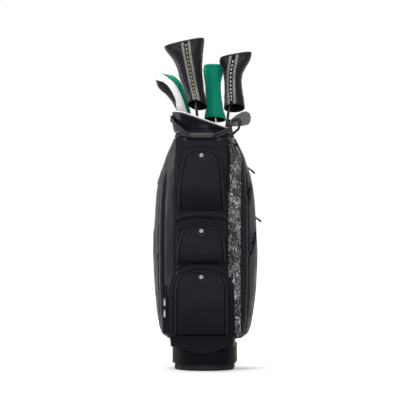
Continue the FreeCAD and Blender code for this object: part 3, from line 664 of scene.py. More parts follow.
# bands that follow the arches over the pockets: relief, height of the crown, half width, rise, breadth
ARCH_BANDS = ((0.0035, 0.3665, 0.113, 0.064, 0.0055), (-0.0030, 0.3785, 0.119, 0.066, 0.0035),
              (0.0025, 0.5235, 0.088, 0.030, 0.0045), (-0.0020, 0.7920, 0.090, 0.030, 0.0040))


def panel_relief(x, z):
    """Outward relief of the front panel: curved welt, recess and bands between the pockets."""
    welt = 0.549 - 0.0105 * (x / 0.08) ** 2
    low_seam = 0.386 - 0.010 * (x / 0.08) ** 2
    relief = 0.0035 * bump_line(z - welt - 0.004, 0.005) - 0.0055 * bump_line(z - welt + 0.011, 0.009)
    relief += -0.0035 * bump_line(z - low_seam, 0.003) + 0.003 * bump_line(z - low_seam + 0.010, 0.006)
    for height, crown, half, rise, width in ARCH_BANDS:
        line = crown + rise * np.sqrt(np.clip(1 - (x / half) ** 2, 0, 1)) - rise
        relief += height * bump_line(z - line, width) * smoothstep((half - np.abs(x)) / 0.012)
    return relief + 0.003 * bump_line(z - 0.123, 0.010) - 0.003 * bump_line(z - 0.1335, 0.0028)


# the collar behind the flap has rounded front corners; heights below this have its outline behind them
COLLAR_TOP, COLLAR_Y, COLLAR_R, COLLAR_FLAT = 0.0925, -0.0125, 0.1, 0.014


def make_front_panel():
    heights = np.concatenate([np.linspace(HEM_LOW, 0.10, 24, endpoint=False),
                              np.linspace(0.10, SIDE_HIGH, 330)])
    half = np.array([panel_half(z) for z in heights])[:, None]
    level = heights[:, None]
    x = np.linspace(-1, 1, 97) * (half - 0.0006)
    hem = HEM_RISE * (1 - np.cos(math.pi * np.clip(x / HEM_HALF, -1, 1))) / 2
    z = level + hem * np.clip((HEM_TOP - level) / (HEM_TOP - HEM_LOW), 0, 1)
    edges = edge_round(half - np.abs(x), 0.011) + edge_round(level - HEM_LOW, 0.004)
    edges += edge_round(SIDE_HIGH - level, 0.005)
    crown = 0.0022 * (1 - (x / half) ** 2)
    points = np.stack([x, panel_y(z), z], axis=-1)
    soft = 0.0008 * ripple(points, 0.14, 51, 0.6) + 0.0003 * ripple(points, 0.04, 52)
    relief = (panel_relief(x, z) + soft) * smoothstep((half - np.abs(x)) / 0.008)
    points[..., 1] += edges - crown - relief
    back = points.copy()
    collar = COLLAR_Y - np.sqrt(COLLAR_R ** 2 - np.clip(np.abs(x) - COLLAR_FLAT, 0, TUBE_R) ** 2)
    tube = -np.sqrt(np.clip(TUBE_R ** 2 - x ** 2, 1e-6, None))
    back[..., 1] = np.where(z < COLLAR_TOP, collar - 0.0005, tube)
    points[..., 1] = np.minimum(points[..., 1], back[..., 1] - 0.0025)
    panel = slab("front_panel_cover", points, back, MAT["fabric_top"])
    ride(panel, *FABRIC, ["front_panel"], padded=0.4)
    return points


left_face = make_side_pocket("left_side_pocket", -1, "left_pocket")
right_face = make_side_pocket("right_side_pocket", 1, "right_pocket")
make_stripe()
panel_face = make_front_panel()


# ---- zipped front pockets ----
ZIP_WIDTH, ZIP_STEP = 0.005, 0.004
POCKET_R = 0.0085
TOOTH_PITCH = 0.0026
STUD_CLEAR = 0.0135                         # the stitches stop beside the stud, where the pull ring lies


class Pocket:
    """Front pocket from its half outline (x, z) and middle profile (y, z), both from the bottom up, in mm."""

    def __init__(self, name, outline, profile, seed):
        self.name = name
        self.outline = np.array(outline) * MM
        self.low, self.high = self.outline[0, 1], self.outline[-1, 1]
        line = np.array([(0.0, y, z) for y, z in profile]) * MM
        self.profile = resample(curve_through(line, 10), 0.0024)[:, 1:]
        self.seed = seed

    def half(self, z):
        """Half width at height z."""
        return np.interp(z, self.outline[:, 1], self.outline[:, 0])

    def front(self, z):
        """y of the face at height z."""
        lip = int(np.argmin(self.profile[:, 1]))
        return np.interp(z, self.profile[lip:, 1], self.profile[lip:, 0])

    def arch(self, margin, step):
        """Evenly spaced points (x, 0, z) round the arch, a margin outside it, from left to right."""
        half = np.stack([self.outline[:, 0], np.zeros(len(self.outline)), self.outline[:, 1]], axis=1)
        line = resample(np.concatenate([half * MIRROR, half[::-1][1:]]), 0.003)
        run = directions(line)
        return resample(line + np.stack([-run[:, 2], np.zeros(len(line)), run[:, 0]], axis=1) * margin, step)

    def push(self, points):
        """Soft swelling and creases of the face, outward, fading towards its sides."""
        x, z = points[..., 0], points[..., 2]
        half = self.half(z)
        share = np.clip((z - self.low) / (self.high - self.low), 0, 1)
        rise = np.sin(math.pi * np.clip(share * 1.15, 0, 1))
        swell = 0.0035 * (1 - (x / np.maximum(half, 0.01)) ** 2) * rise
        soft = 0.0010 * ripple(points, 0.12, self.seed, 0.7) + 0.0003 * ripple(points, 0.035, self.seed + 9)
        return swell + soft

    def face_path(self, margin, sink):
        """Line on the face, a margin inside the arch."""
        line = self.arch(-margin, 0.003)
        line = line[line[:, 2] > self.low + 0.016]
        line[:, 1] = self.front(np.clip(line[:, 2], self.low + 0.02, self.high))
        fade = smoothstep((self.half(line[:, 2]) - np.abs(line[:, 0])) / 0.02) * self.crown_fade(line[:, 2])
        line[:, 1] += sink - self.push(line) * fade
        return line

    def crown_fade(self, z):
        return smoothstep((self.high - z) / 0.03)

    def make_cover(self):
        across = np.sin(np.linspace(-1, 1, 75) * math.pi / 2)
        border = np.abs(np.abs(across) - 1) < 1e-6
        outer, back = [], []
        for y, z in self.profile:
            share = np.clip((z - self.low) / (self.high - self.low), 0, 1)
            half = max(self.half(max(z, self.low)), 0.30 * self.outline[-3, 0] + 0.02) - 0.0006
            x = across * half
            ceiling = np.interp(np.abs(x), self.outline[::-1, 0], self.outline[::-1, 1])
            height = np.minimum(z, ceiling - 0.0004) if share > 0.6 else np.full(len(x), z)
            deep = edge_round(half - np.abs(x), POCKET_R)
            deep = deep + edge_round(np.maximum(ceiling - height, 0), 0.006) * (share > 0.5)
            face = np.stack([x, np.full(len(x), y), height], axis=1)
            room = np.maximum(panel_y(height) - 0.0012 - y, 0.0004)
            push = self.push(face) * smoothstep((half - np.abs(x)) / 0.02) * smoothstep((z - self.low) / 0.02)
            fall = np.minimum(deep / POCKET_R, 1.0) * np.minimum(room, 0.012)
            face[:, 1] = y + np.where(border, room, fall - push * self.crown_fade(z))
            outer.append(face)
            back.append(np.stack([x, panel_y(height) + 0.0008, height], axis=1))
        cover = slab(self.name + "_pocket_cover", np.array(outer), np.array(back), MAT["fabric_top"])
        ride(cover, *FABRIC, [self.name + "_pocket"], padded=0.6)

    def zip_front(self, z):
        """y of the zip's front edge at height z."""
        return self.front(np.clip(z, self.low + 0.022, self.high)) + ZIP_STEP

    def make_zip(self):
        """Tape that walls the pocket's arch, with teeth round its front."""
        line = self.arch(0.0002, 0.004)
        edge = self.arch(ZIP_WIDTH, 0.004)
        spread = np.linspace(0, 1, len(line))
        edge = np.stack([np.interp(spread, np.linspace(0, 1, len(edge)), edge[:, k]) for k in range(3)], axis=1)
        wall = panel_y(line[:, 2]) + 0.001
        front = np.minimum(self.zip_front(line[:, 2]), wall - 0.0022)
        sections = []
        # section of the tape: share of its width, and depth as a share of the wall or as a step in metres
        for share, deep, step in ((0.02, 1.0, 0), (0.02, 0, 0.0012), (0.25, 0, 0), (0.7, 0, 0.00036),
                                  (1.0, 0, 0.00192), (1.04, 0.55, 0), (1.0, 1.0, 0)):
            spot = line + (edge - line) * share
            spot[:, 1] = front + (wall - front) * deep + step
            sections.append(spot)
        tape = rings(self.name + "_zip_tape", np.array(sections).transpose(1, 0, 2), MAT["zip_tape"])
        ride(tape, "bag", "zip")
        spots = self.arch(ZIP_WIDTH * 0.42, TOOTH_PITCH / 2)
        spots[:, 1] = np.minimum(self.zip_front(spots[:, 2]), panel_y(spots[:, 2]) - 0.0012)
        zip_teeth(self.name + "_zip_teeth", spots, np.array([0.0, -1.0, 0.0]))

    def make_trim(self):
        """Piping round the face's edge and a row of stitches inside it."""
        pipe(self.name + "_pocket_piping", self.face_path(0.0012, 0.0028), 0.0013, sides=7)
        inner = self.face_path(0.0085, -0.0001)
        halves = [inner[inner[:, 0] < -STUD_CLEAR], inner[inner[:, 0] > STUD_CLEAR]]
        sew(self.name + "_pocket_stitches", halves)


def tooth_block(centre, along, across, out, size):
    """One zip tooth as a small bevelled block."""
    a, b, c = (v * s / 2 for v, s in zip((along, across, out), size))
    corners = (-a - b, a - b, a + b, b - a)
    faces = [(3, 2, 1, 0), (4, 5, 6, 7), (0, 1, 5, 4), (1, 2, 6, 5), (2, 3, 7, 6), (3, 0, 4, 7)]
    verts = [centre + corner - c for corner in corners] + [centre + corner * 0.7 + c for corner in corners]
    return np.array(verts), faces


def zip_teeth(name, line, out, width=0.0028):
    """Two interlocked rows of teeth along a line; out is the way that they face."""
    run = directions(line)
    across = unit(np.cross(np.tile(out, (len(line), 1)), run))
    parts = []
    for i in range(1, len(line) - 1):
        side = 0.0005 if i % 2 else -0.0005
        centre = line[i] + across[i] * side + out * 0.0003
        parts.append(tooth_block(centre, run[i], across[i], out, (0.0016, width, 0.0014)))
    ride(joined(name, parts, MAT["zip_coil"], smooth=False), "bag", "zip")


POCKETS = (
    Pocket("upper", [(76, 572), (75.5, 600), (74.5, 640), (71.5, 690), (67, 725), (60, 753), (49.5, 770),
                     (36, 777), (19, 779.5), (0, 780)],
           [(-126, 575), (-127.5, 571.5), (-131, 573), (-136.5, 581), (-145.5, 597), (-154, 618), (-158, 641),
            (-156, 664), (-148.5, 684), (-140, 708), (-132, 740), (-125, 779)], 61),
    Pocket("middle", [(81, 390), (80.5, 410), (79, 435), (75.5, 460), (69, 483), (58, 499), (42, 507),
                      (20, 510), (0, 511)],
           [(-127, 393), (-138, 389.5), (-148, 391.5), (-153.5, 399), (-154.5, 415), (-151, 437), (-145, 463),
            (-137, 488), (-129.5, 511)], 62),
    Pocket("lower", [(88, 133), (88, 180), (88, 240), (87.5, 285), (84.5, 312), (77, 333), (64, 345),
                     (45, 350), (20, 351.5), (0, 352)],
           [(-127, 136), (-140, 132.5), (-151, 134.5), (-157.5, 143), (-161.5, 165), (-162, 200), (-158.5, 245),
            (-150, 290), (-141, 325), (-131, 352)], 63),
)
for pocket in POCKETS:
    pocket.make_cover()
    pocket.make_zip()
    pocket.make_trim()


# ---- moulded cuff, its lip and the light edging along the rim ----
# height, centre x, outer half width, outer half depth, in mm
CUFF = np.array([(845, 0, 101, 102), (856, -4, 108, 112), (872, -7, 109, 111), (890, -8, 110.5, 109),
                 (916, -8, 108.5, 107), (940, -8, 106, 105)]) * MM
CUFF_WALL, CUFF_BULGE, EDGING = 0.006, 0.0012, 0.005
RIM_MID, RIM_SLOPE, RIM_PEAK = 0.898, 0.36, 0.927
RIM_BLEND = 0.0035                          # how softly the rim's slope runs into its level part
CUFF_FOOT, LIP_TOP, LIP_DEEP = 0.8455, 0.8535, 0.0014   # the wall is sunk by LIP_DEEP above the flange


def cuff_point(turn, z, inset):
    near = z[..., None] + np.linspace(-1, 1, 5) * 0.006
    cx, rx, ry = (np.mean(np.interp(near, CUFF[:, 0], CUFF[:, k]), axis=-1) for k in (1, 2, 3))
    return np.stack([cx + (rx - inset) * np.cos(turn), (ry - inset) * np.sin(turn), z], axis=-1)


def rim_height(turn, drop):
    """Height of the rim at a turn; it is level at the left and slopes down to the right."""
    z = np.full(turn.shape, 0.9)
    for _ in range(12):
        slope = RIM_MID - RIM_SLOPE * cuff_point(turn, z, 0.0)[..., 0]
        both = np.exp(-(slope - 0.9) / RIM_BLEND) + np.exp(-(RIM_PEAK - 0.9) / RIM_BLEND)
        z = -RIM_BLEND * np.log(both) + 0.9
    return z - drop


def closed_rings(name, rows, material, **looks):
    """Closed band from rings of which the last joins the first."""
    rows = np.array(rows)
    return build(name, rows.reshape(-1, 3), ring_faces(*rows.shape[:2], closed=True), material, **looks)


def make_cuff():
    count = 160
    turn = full_turn(count)
    base, lip, top = np.full(count, CUFF_FOOT), np.full(count, LIP_TOP), rim_height(turn, EDGING + 0.0003)
    rows = [cuff_point(turn, base + (lip - base) * share, -CUFF_BULGE * math.sin(math.pi * share))
            for share in np.linspace(0, 1, 9)]
    lip_faces = (len(rows) - 1) * count
    sunk = LIP_DEEP * smoothstep((-np.sin(turn) + 0.2) / 0.6)
    rows += [cuff_point(turn, lip + 0.0008, 0.0004), cuff_point(turn, lip + 0.0016, sunk * 0.75)]
    for share in np.linspace(0.06, 1, 15):
        hollow = sunk * (1 - smoothstep((share - 0.55) / 0.45)) + CUFF_BULGE * math.sin(math.pi * share)
        rows.append(cuff_point(turn, lip + 0.002 + (top - lip - 0.002) * share, hollow))
    rows += [cuff_point(turn, top - (top - base) * share, CUFF_WALL) for share in np.linspace(0, 1, 10)]
    kinds = [1] * lip_faces + [0] * (len(rows) * count - lip_faces)
    cuff = closed_rings("moulded_cuff", rows, MAT["cuff"], materials=[MAT["cuff_lip"]], kinds=kinds)
    ride(cuff, "bag", "cuff_plastic", ["top_cuff"])
    # section of the edging: drop below the rim, and inset
    section = ((EDGING, 0.0), (0.0028, -0.0007), (0.0008, 0.0002), (0.0, 0.0022), (0.0, 0.0040),
               (0.0009, 0.0056), (0.0028, 0.0066), (EDGING, 0.006))
    edge = [cuff_point(turn, rim_height(turn, drop), inset) for drop, inset in section]
    ride(closed_rings("rim_piping", edge, MAT["edging"]), "bag", "edging_light", ["rim_edging"])
    seam = cuff_point(turn, rim_height(turn, EDGING + 0.0035), -0.0003)
    sew("cuff_stitches", [np.concatenate([seam, seam[:1]])], "grey_thread", ("bag", "edging_light"))


BAND_FOOT, BAND_TOP = 0.8316, 0.8452


def make_neck_band():
    """Padded fabric band between the cuff and the panels."""
    turn = full_turn(140)

    def ring(z, rx, ry):
        return np.stack([rx * np.cos(turn), ry * np.sin(turn), np.full(140, z)], axis=1)

    rows = []
    for z, push in ((BAND_FOOT, 0.0), (0.8335, 0.0022), (0.838, 0.0032), (0.843, 0.002), (BAND_TOP, 0.0)):
        share = (z - BAND_FOOT) / (BAND_TOP - BAND_FOOT)
        rows.append(ring(z, 0.1055 - 0.004 * share + push, 0.1045 - 0.002 * share + push))
    rows += [ring(z, 0.0998, 0.0998) for z in (BAND_TOP, BAND_FOOT)]
    ride(closed_rings("neck_band", rows, MAT["fabric_edge"]), *FABRIC)


# ---- lift handle, its webbing and grip ----
GRIP_Y, GRIP_Z, GRIP_HALF = -0.127, 0.836, 0.0452
LEFT_ARM = np.array([(-114.5, -41, 898), (-102, -75, 879), (-81, -104, 857), (-60, -121, 843),
                     (-46, -127, 836)]) * MM
RIGHT_ARM = np.array([(97, -50, 863), (90, -78, 856), (74, -106, 847), (58, -122, 839), (46, -127, 836)]) * MM
STRAP_HALF_HEIGHT, STRAP_HALF_THICK = 0.0085, 0.0016


def band_mesh(name, line, up, half_width, half_thick):
    """Flat webbing with rounded edges along a line; up is the direction of its width."""
    run = directions(line)
    up = unit(up - run * np.sum(up * run, axis=1, keepdims=True))
    out = np.cross(run, up)
    shape = [(a, 1.0 if abs(a) < 0.85 else 0.55) for a in np.linspace(-1, 1, 9)]
    shape += [(a, -b) for a, b in shape[::-1]]
    rows = [[point + up[i] * a * half_width + out[i] * b * half_thick for a, b in shape]
            for i, point in enumerate(line)]
    return rings(name, rows, MAT["webbing"])


def make_lift_handle():
    lift = ("lift_handle", "webbing")
    arms = {side: resample(curve_through(arm, 10), 0.003)
            for side, arm in (("left", LEFT_ARM), ("right", RIGHT_ARM))}
    middle = np.array([(x, GRIP_Y, GRIP_Z) for x in np.linspace(0.043, -0.043, 18)])
    line = np.concatenate([arms["right"], middle, arms["left"][::-1]])
    upright = np.array([0.0, 0.0, 1.0])
    strap = band_mesh("lift_webbing", line, upright, STRAP_HALF_HEIGHT, STRAP_HALF_THICK)
    ride(strap, *lift, ["handle_strap"])
    for side, arm in arms.items():
        run = directions(arm)
        up = unit(upright - run * run[:, 2:3])
        out = np.cross(run, up)
        face = arm - out * np.sign(out[:, 1:2]) * 0.0019
        sew("lift_stitches_" + side, [face + up * 0.0062, face - up * 0.0062], "grey_thread", lift)
    make_grip()


def make_grip():
    """Padded sleeve, fuller in the middle, pinched at its bound ends and with a seam along its back."""
    grip = ("lift_handle", "grip_grey")
    turn = full_turn(40)
    rows = []
    for x in np.linspace(-GRIP_HALF, GRIP_HALF, 56):
        share = abs(x) / GRIP_HALF
        size = 0.0092 - 0.0016 * share ** 6 + 0.0002 * math.sin(x * 900)
        radius = size * (1 - 0.10 * bump_line(turn - math.pi / 2, 0.12)) * (0.9 if share > 0.95 else 1.0)
        rows.append(np.stack([np.full(40, x), GRIP_Y - radius * 0.92 * np.cos(turn),
                              GRIP_Z + radius * np.sin(turn)], axis=1))
    rows = np.array(rows)
    out = unit((rows - np.array([0.0, GRIP_Y, GRIP_Z])) * np.array([0.0, 1.0, 1.0]))
    rows = rows + out * (0.00025 * ripple(rows, 0.02, 71))[..., None]
    ride(rings("grip_sleeve", rows, MAT["grip"]), *grip, ["handle_grip"], padded=0.8)
    for end, x in (("left", -0.0415), ("right", 0.0415)):
        ring = np.array([(x, GRIP_Y + 0.0084 * math.cos(a), GRIP_Z + 0.0090 * math.sin(a))
                         for a in full_turn(28)])
        pipe("grip_binding_" + end, ring, 0.0011, sides=7, on=grip, closed=True)
    line = np.array([(x, GRIP_Y - 0.0090, GRIP_Z - 0.0012) for x in np.linspace(-0.039, 0.039, 40)])
    sew("grip_stitches", [line], on=grip)


make_cuff()
make_neck_band()
make_lift_handle()


# ---- headcovers: grained leather socks with seams, stripes and an open, lined mouth ----
COVER_ROWS, COVER_TURNS = 70, 96
COVER_WALL = 0.0028
# how far the crown's rings reach from its middle, and how high they rise
CROWN_CURVE = ((0.985, 0.22), (0.95, 0.42), (0.88, 0.62), (0.74, 0.80), (0.55, 0.92), (0.32, 0.98))


class Cover:
    """A sock along a curved middle line. Its stations, in mm from the mouth up:
    middle x, z, tilt of the section in degrees, half width left, half width right, half depth, squareness."""

    def __init__(self, club, slot, y, stations, mouth_lean, crown):
        self.club = club
        self.looks = (club, slot)
        self.table = np.array(stations, float)
        self.table[:, [0, 1, 3, 4, 5]] *= MM
        self.table[:, 2] = np.radians(self.table[:, 2])
        steps = run_lengths(self.table[:, :2])
        self.at = steps / steps[-1]
        self.y = y * MM
        self.mouth_lean = mouth_lean
        self.crown = crown * MM

    def row(self, t):
        """Station values at share t of the length, blended smoothly."""
        near = np.clip(t + np.linspace(-1, 1, 9) * 0.06 * min(1.0, 4 * t, 4 * (1 - t)), 0, 1)
        return [float(np.mean(np.interp(near, self.at, self.table[:, k]))) for k in range(7)]

    def point(self, t, turn, shrink=0.0):
        """Surface point; turn 0 is the right, -90 degrees the front."""
        x, z, tilt, left, right, depth, square = self.row(t)
        a, b = signed_power(np.cos(turn), 2.0 / square), signed_power(np.sin(turn), 2.0 / square)
        reach = np.where(np.cos(turn) > 0, right, left) - shrink
        across = np.array([math.cos(tilt), 0.0, math.sin(tilt)])
        along = np.array([-math.sin(tilt), 0.0, math.cos(tilt)])
        depth = depth - shrink
        lean = -self.mouth_lean * (1 - t) ** 6 * b * depth
        return (np.array([x, self.y, z]) + (a * reach)[..., None] * across
                + (b * depth)[..., None] * np.array([0.0, 1.0, 0.0]) + lean[..., None] * along)

    def shape(self, shrink=0.0):
        """Rings from the mouth up, and the tip of the crown."""
        turn = full_turn(COVER_TURNS)
        grid = [self.point(t, turn, shrink) for t in np.linspace(0, 1, COVER_ROWS)]
        top = grid[-1]
        middle = top.mean(axis=0)
        tilt = self.row(1.0)[2]
        up = np.array([-math.sin(tilt), 0.0, math.cos(tilt)])
        # the closed end: the wall turns over a tight edge on to a nearly flat crown
        for share, rise in CROWN_CURVE:
            grid.append(middle + (top - middle) * share + up * self.crown * rise)
        return np.array(grid), middle + up * self.crown

    def make_sock(self, materials, wrinkle, seed, kind_at=None):
        """Leather outside and lined inside. kind_at gives the number of the material at a row and a turn."""
        outer, tip = self.shape()
        rows, turns = outer.shape[:2]
        out = unit(outer - outer.mean(axis=1, keepdims=True))
        push = wrinkle * ripple(outer, 0.085, seed, 0.8) + wrinkle * 0.4 * ripple(outer, 0.03, seed + 1)
        outer = outer + out * push[..., None]
        inner, inner_tip = self.shape(COVER_WALL)
        inner_tip = inner_tip - (tip - outer[-1].mean(axis=0)) * 0.5
        count = rows * turns
        start, last = count + 1, (rows - 1) * turns
        ring = [(j, (j + 1) % turns) for j in range(turns)]
        faces = grid_quads(rows, turns, wrap=True) + [(last + j, last + k, count) for j, k in ring]
        faces += grid_quads(rows, turns, start, wrap=True, flip=True)
        faces += [(start + last + k, start + last + j, start + count) for j, k in ring]
        faces += [(k, j, start + j, start + k) for j, k in ring]
        verts = np.concatenate([outer.reshape(-1, 3), [tip], inner.reshape(-1, 3), [inner_tip]])
        kinds = [0] * count + [1] * count + [0] * turns
        if kind_at:
            kinds[:last] = [kind_at(index // turns, index % turns) for index in range(last)]
        leather, *others = [MAT[material] for material in materials]
        sock = build(self.club + "_sock", verts, faces, leather, None, True, [MAT["lining"], *others], kinds)
        self.outer = outer
        ride(sock, *self.looks, [self.club + "_cover"])

    def on(self, t, turn, lift=0.0):
        """Points on the finished outside, raised by lift; either of t and turn may be one value."""
        t, turn = np.broadcast_arrays(np.asarray(t, float), np.asarray(turn, float))
        grid, top = self.outer, COVER_ROWS - 1
        rows = np.clip(t, 0, 1) * top
        cols = (turn / (2 * math.pi) * COVER_TURNS) % COVER_TURNS
        i, j = np.floor(rows).astype(int), np.floor(cols).astype(int)
        f, g = (rows - i)[..., None], (cols - j)[..., None]
        i2, j, j2 = np.minimum(i + 1, top), j % COVER_TURNS, (j + 1) % COVER_TURNS
        spot = ((grid[i, j] * (1 - g) + grid[i, j2] * g) * (1 - f)
                + (grid[i2, j] * (1 - g) + grid[i2, j2] * g) * f)
        middle = grid.mean(axis=1)
        centre = middle[i] * (1 - f) + middle[i2] * f
        return spot + unit(spot - centre) * lift

    def front(self, t, offset, side, lift):
        """Points on the front at a sideways distance; offset gives the band's middle at t of 0 and of 1."""
        base = np.linspace(-math.pi * 0.98, -math.pi * 0.02, 121)
        out = []
        for share in t:
            run = run_lengths(self.on(share, base))
            run = run - np.interp(-math.pi / 2, base, run)
            turn = np.interp(offset[0] + (offset[1] - offset[0]) * share + side, run, base)
            out.append(self.on(share, turn, lift))
        return np.array(out)

    def strip(self, name, offset, half_width, lift, material, low=0.012, high=0.999, thick=0.0008, rows=90):
        """Flat tape sewn up the front, offset sideways from the middle line."""
        t = np.linspace(low, high, rows)
        sides = (-1.0, -0.5, 0.0, 0.5, 1.0)
        outer = [self.front(t, offset, side * half_width, lift - 0.0003 * (abs(side) == 1)) for side in sides]
        inner = [self.front(t, offset, side * half_width, lift - thick) for side in sides]
        outer, inner = np.array(outer).transpose(1, 0, 2), np.array(inner).transpose(1, 0, 2)
        ride(slab(name, outer, inner, MAT[material]), *self.looks)

    def hem(self, radius, material):
        """Bound edge of the mouth."""
        ring = self.on(0.004, full_turn(90), 0.0001)
        pipe(self.club + "_hem", ring, radius, material, on=self.looks, closed=True)

    def crown_seam(self, radius, material):
        """Piping round the closed end, where the crown is sewn to the wall."""
        ring = self.on(1.0, full_turn(110), 0.0002)
        pipe(self.club + "_crown_seam", ring, radius, material, 7, self.looks, closed=True)

    def side_seams(self, radius, material):
        for turn, label in ((0.0, "right"), (math.pi, "left")):
            line = self.on(np.linspace(0.01, 0.999, 120), turn, 0.0001)
            pipe(f"{self.club}_side_seam_{label}", line, radius, material, 6, self.looks)

    def hem_stitches(self, t, count, thread):
        line = self.on(t, np.linspace(0, 2 * math.pi, count), 0.0004)
        sew(self.club + "_hem_stitches", [line], thread, self.looks)


DRIVER = Cover("driver", "cover_black", -54, [
    (-21, 945, -8, 33.5, 33.5, 31, 2.0), (-24, 968, -8, 35, 33.5, 31, 2.0),
    (-32, 1003, -8, 38.5, 35, 32, 2.1), (-40, 1040, -8, 44, 38, 37, 2.2),
    (-46, 1072, -8, 48.5, 43, 42, 2.3), (-52, 1098, -9, 52, 49, 46, 2.4),
    (-58, 1124, -1, 62, 55, 48, 2.5), (-62, 1146, 6, 70, 62, 46, 2.6),
    (-65, 1163, 11, 74, 69, 40, 2.7), (-66, 1170, 12, 74, 70, 34, 2.7)], 0.50, 7)
FAIRWAY = Cover("fairway", "cover_black", -27, [
    (110, 936, 2, 36, 35, 29, 2.0), (109, 966, 2, 34, 34, 29, 2.0), (106, 1000, 3, 31.5, 31, 29, 2.1),
    (104, 1040, 3, 30.5, 31, 30, 2.1), (105, 1066, 3, 33, 36, 32, 2.2), (108, 1086, 5, 43, 48, 34, 2.4),
    (111, 1104, 8, 54, 57, 34, 2.6), (112, 1117, 9, 56, 59, 30, 2.9), (113, 1125, 10, 54, 57, 25, 3.0)],
    0.48, 7)
UTILITY = Cover("utility", "cover_green", 50, [
    (35, 899, -2, 38, 38, 35, 2.0), (35, 912, -2, 37, 37, 35, 2.0), (33, 935, -2, 31, 31, 32, 2.0),
    (30, 968, -2, 28, 28, 29, 2.0), (27, 1010, -2, 27, 27, 29, 2.0), (25, 1038, -2, 28, 30, 30, 2.1),
    (25, 1058, -2, 31, 36, 31, 2.3), (28, 1078, -1, 35, 38, 29, 2.6), (28, 1092, -1, 33, 36, 24, 2.7)],
    0.26, 8)
HYBRID = Cover("hybrid", "cover_tricolour", 46, [
    (-69, 903, 2, 18, 18, 18, 2.0), (-74, 924, 6, 20, 20, 20, 2.0), (-82.5, 942, 14, 25, 25, 26, 2.0),
    (-94.5, 973.5, 23, 29, 29, 30, 2.0), (-112, 1001.5, 27, 32.5, 32.5, 32, 2.0),
    (-129.5, 1023, 28, 39, 39, 33, 2.0), (-145, 1038.5, 32, 35, 35, 30, 2.1),
    (-157.5, 1049, 31, 25, 25, 24, 2.1), (-166, 1053.5, 38, 18, 18, 18, 2.1)], 0.1, 7)
TAPE_HALF = 0.0040
DASH_HALF, RAIL_HALF = 0.0020, 0.0036


def make_striped_cover(cover, line, spacing, dash_material, dashes, wrinkle, seed):
    """Black leather cover with two light tapes and a dashed line between them. line is the sideways place of
    the band's middle and spacing that of its tapes from it, at the mouth and at the crown. dashes: low and
    high end of the dashed stretch, how many dashes, and the share of its pitch that each fills."""
    club = cover.club
    cover.make_sock(["black_leather"], wrinkle, seed)
    for side, label in ((-1, "left"), (1, "right")):
        offset = [line[k] + side * spacing[k] for k in (0, 1)]
        cover.strip(club + "_tape_" + label, offset, TAPE_HALF, 0.0009, "stripe")
        for edge in (-1, 1):
            seam = cover.front(np.linspace(0.02, 0.99, 150), offset, edge * (TAPE_HALF + 0.0010), 0.0004)
            word = "inner" if edge * side < 0 else "outer"
            sew(f"{club}_tape_stitches_{label}_{word}", [seam], "grey_thread", cover.looks, 2.8 * MM)
    cover.strip(club + "_dash_rail", line, RAIL_HALF, 0.0005, "lining", thick=0.0006)
    low, high, count, share = dashes
    pitch = (high - low) / count
    for number in range(count):
        start, end = low + number * pitch, low + (number + share) * pitch
        cover.strip(f"{club}_dash_{number:02d}", line, DASH_HALF, 0.0012, dash_material, start, end, rows=6)
    cover.side_seams(0.0009, "black_leather")
    cover.hem(0.0016, "black_leather")
    cover.crown_seam(0.0012, "black_leather")
    cover.hem_stitches(0.03, 140, "thread")


def make_green_cover(cover):
    cover.make_sock(["green_leather"], 0.0010, 101)
    cover.hem(0.0019, "green_leather")
    cover.hem_stitches(0.065, 150, "green_leather")
    cover.side_seams(0.001, "green_leather")
    cover.crown_seam(0.0011, "green_leather")


# how far across the front the black and the green panel reach at each station, from -1 at the left to 1
BLACK_EDGE = (-0.99, -0.98, -0.9, -0.45, -0.27, -0.17, -0.25, -0.68, -0.97)
GREEN_EDGE = (0.6, 0.55, 0.55, 0.5, 0.58, 0.55, 0.5, 0.62, 0.85)


def panel_turn(cover, edge, t):
    """Turn, in degrees, of a panel's edge at share t of the cover's length."""
    return 360 - np.degrees(np.arccos(np.interp(t, cover.at, edge)))


def make_tricolour_cover(cover):
    """White cover with a black panel under it and a green one over it, parted by black piping."""

    def kind_at(row, column):
        turn = (column + 0.5) / COVER_TURNS * 360
        t = min(row / (COVER_ROWS - 1), 1.0)
        if 90 < turn < panel_turn(cover, BLACK_EDGE, t):
            return 2
        return 3 if turn > panel_turn(cover, GREEN_EDGE, t) or turn < 90 else 0

    cover.make_sock(["white_leather", "black_leather", "green_leather"], 0.0010, 111, kind_at)
    t = np.linspace(0.0, 0.995, 120)
    for label, edge in (("lower", BLACK_EDGE), ("upper", GREEN_EDGE)):
        line = cover.on(t, np.radians(panel_turn(cover, edge, t)), 0.0004)
        pipe("hybrid_piping_" + label, line, 0.0014, "black_leather", 7, cover.looks)
    cover.hem(0.0015, "black_leather")


make_striped_cover(DRIVER, (-0.002, 0.006), (0.0085, 0.0118), "dash",
                   (0.05, 0.985, 15, 0.62), 0.0016, 81)
make_striped_cover(FAIRWAY, (-0.009, -0.003), (0.0112, 0.0120), "white_dash",
                   (0.10, 0.93, 11, 0.55), 0.0014, 91)
make_green_cover(UTILITY)
make_tricolour_cover(HYBRID)


# ---- straight zip on the left, with its tape, teeth and welts ----
ZIP_X, ZIP_MID = -0.131, 0.211
ZIP_LOW, ZIP_HIGH = 0.134, 0.300
ZIP_OUT = np.array([-0.5, -math.sqrt(0.75), 0.0])
ZIP_ACROSS = np.array([math.sqrt(0.75), -0.5, 0.0])
ZIP_PROUD = 0.0036
ZIP_FACE = np.array([ZIP_X, skin_front_y(ZIP_MID, -ZIP_X), 0.0]) + ZIP_OUT * ZIP_PROUD
TAPE_HALF_WIDTH, TAPE_BACK = 0.0085, 0.009


def points_at(x, y, z):
    """Points from coordinates, each of them an array or one value for all."""
    return np.stack(np.broadcast_arrays(x, y, z), axis=-1)


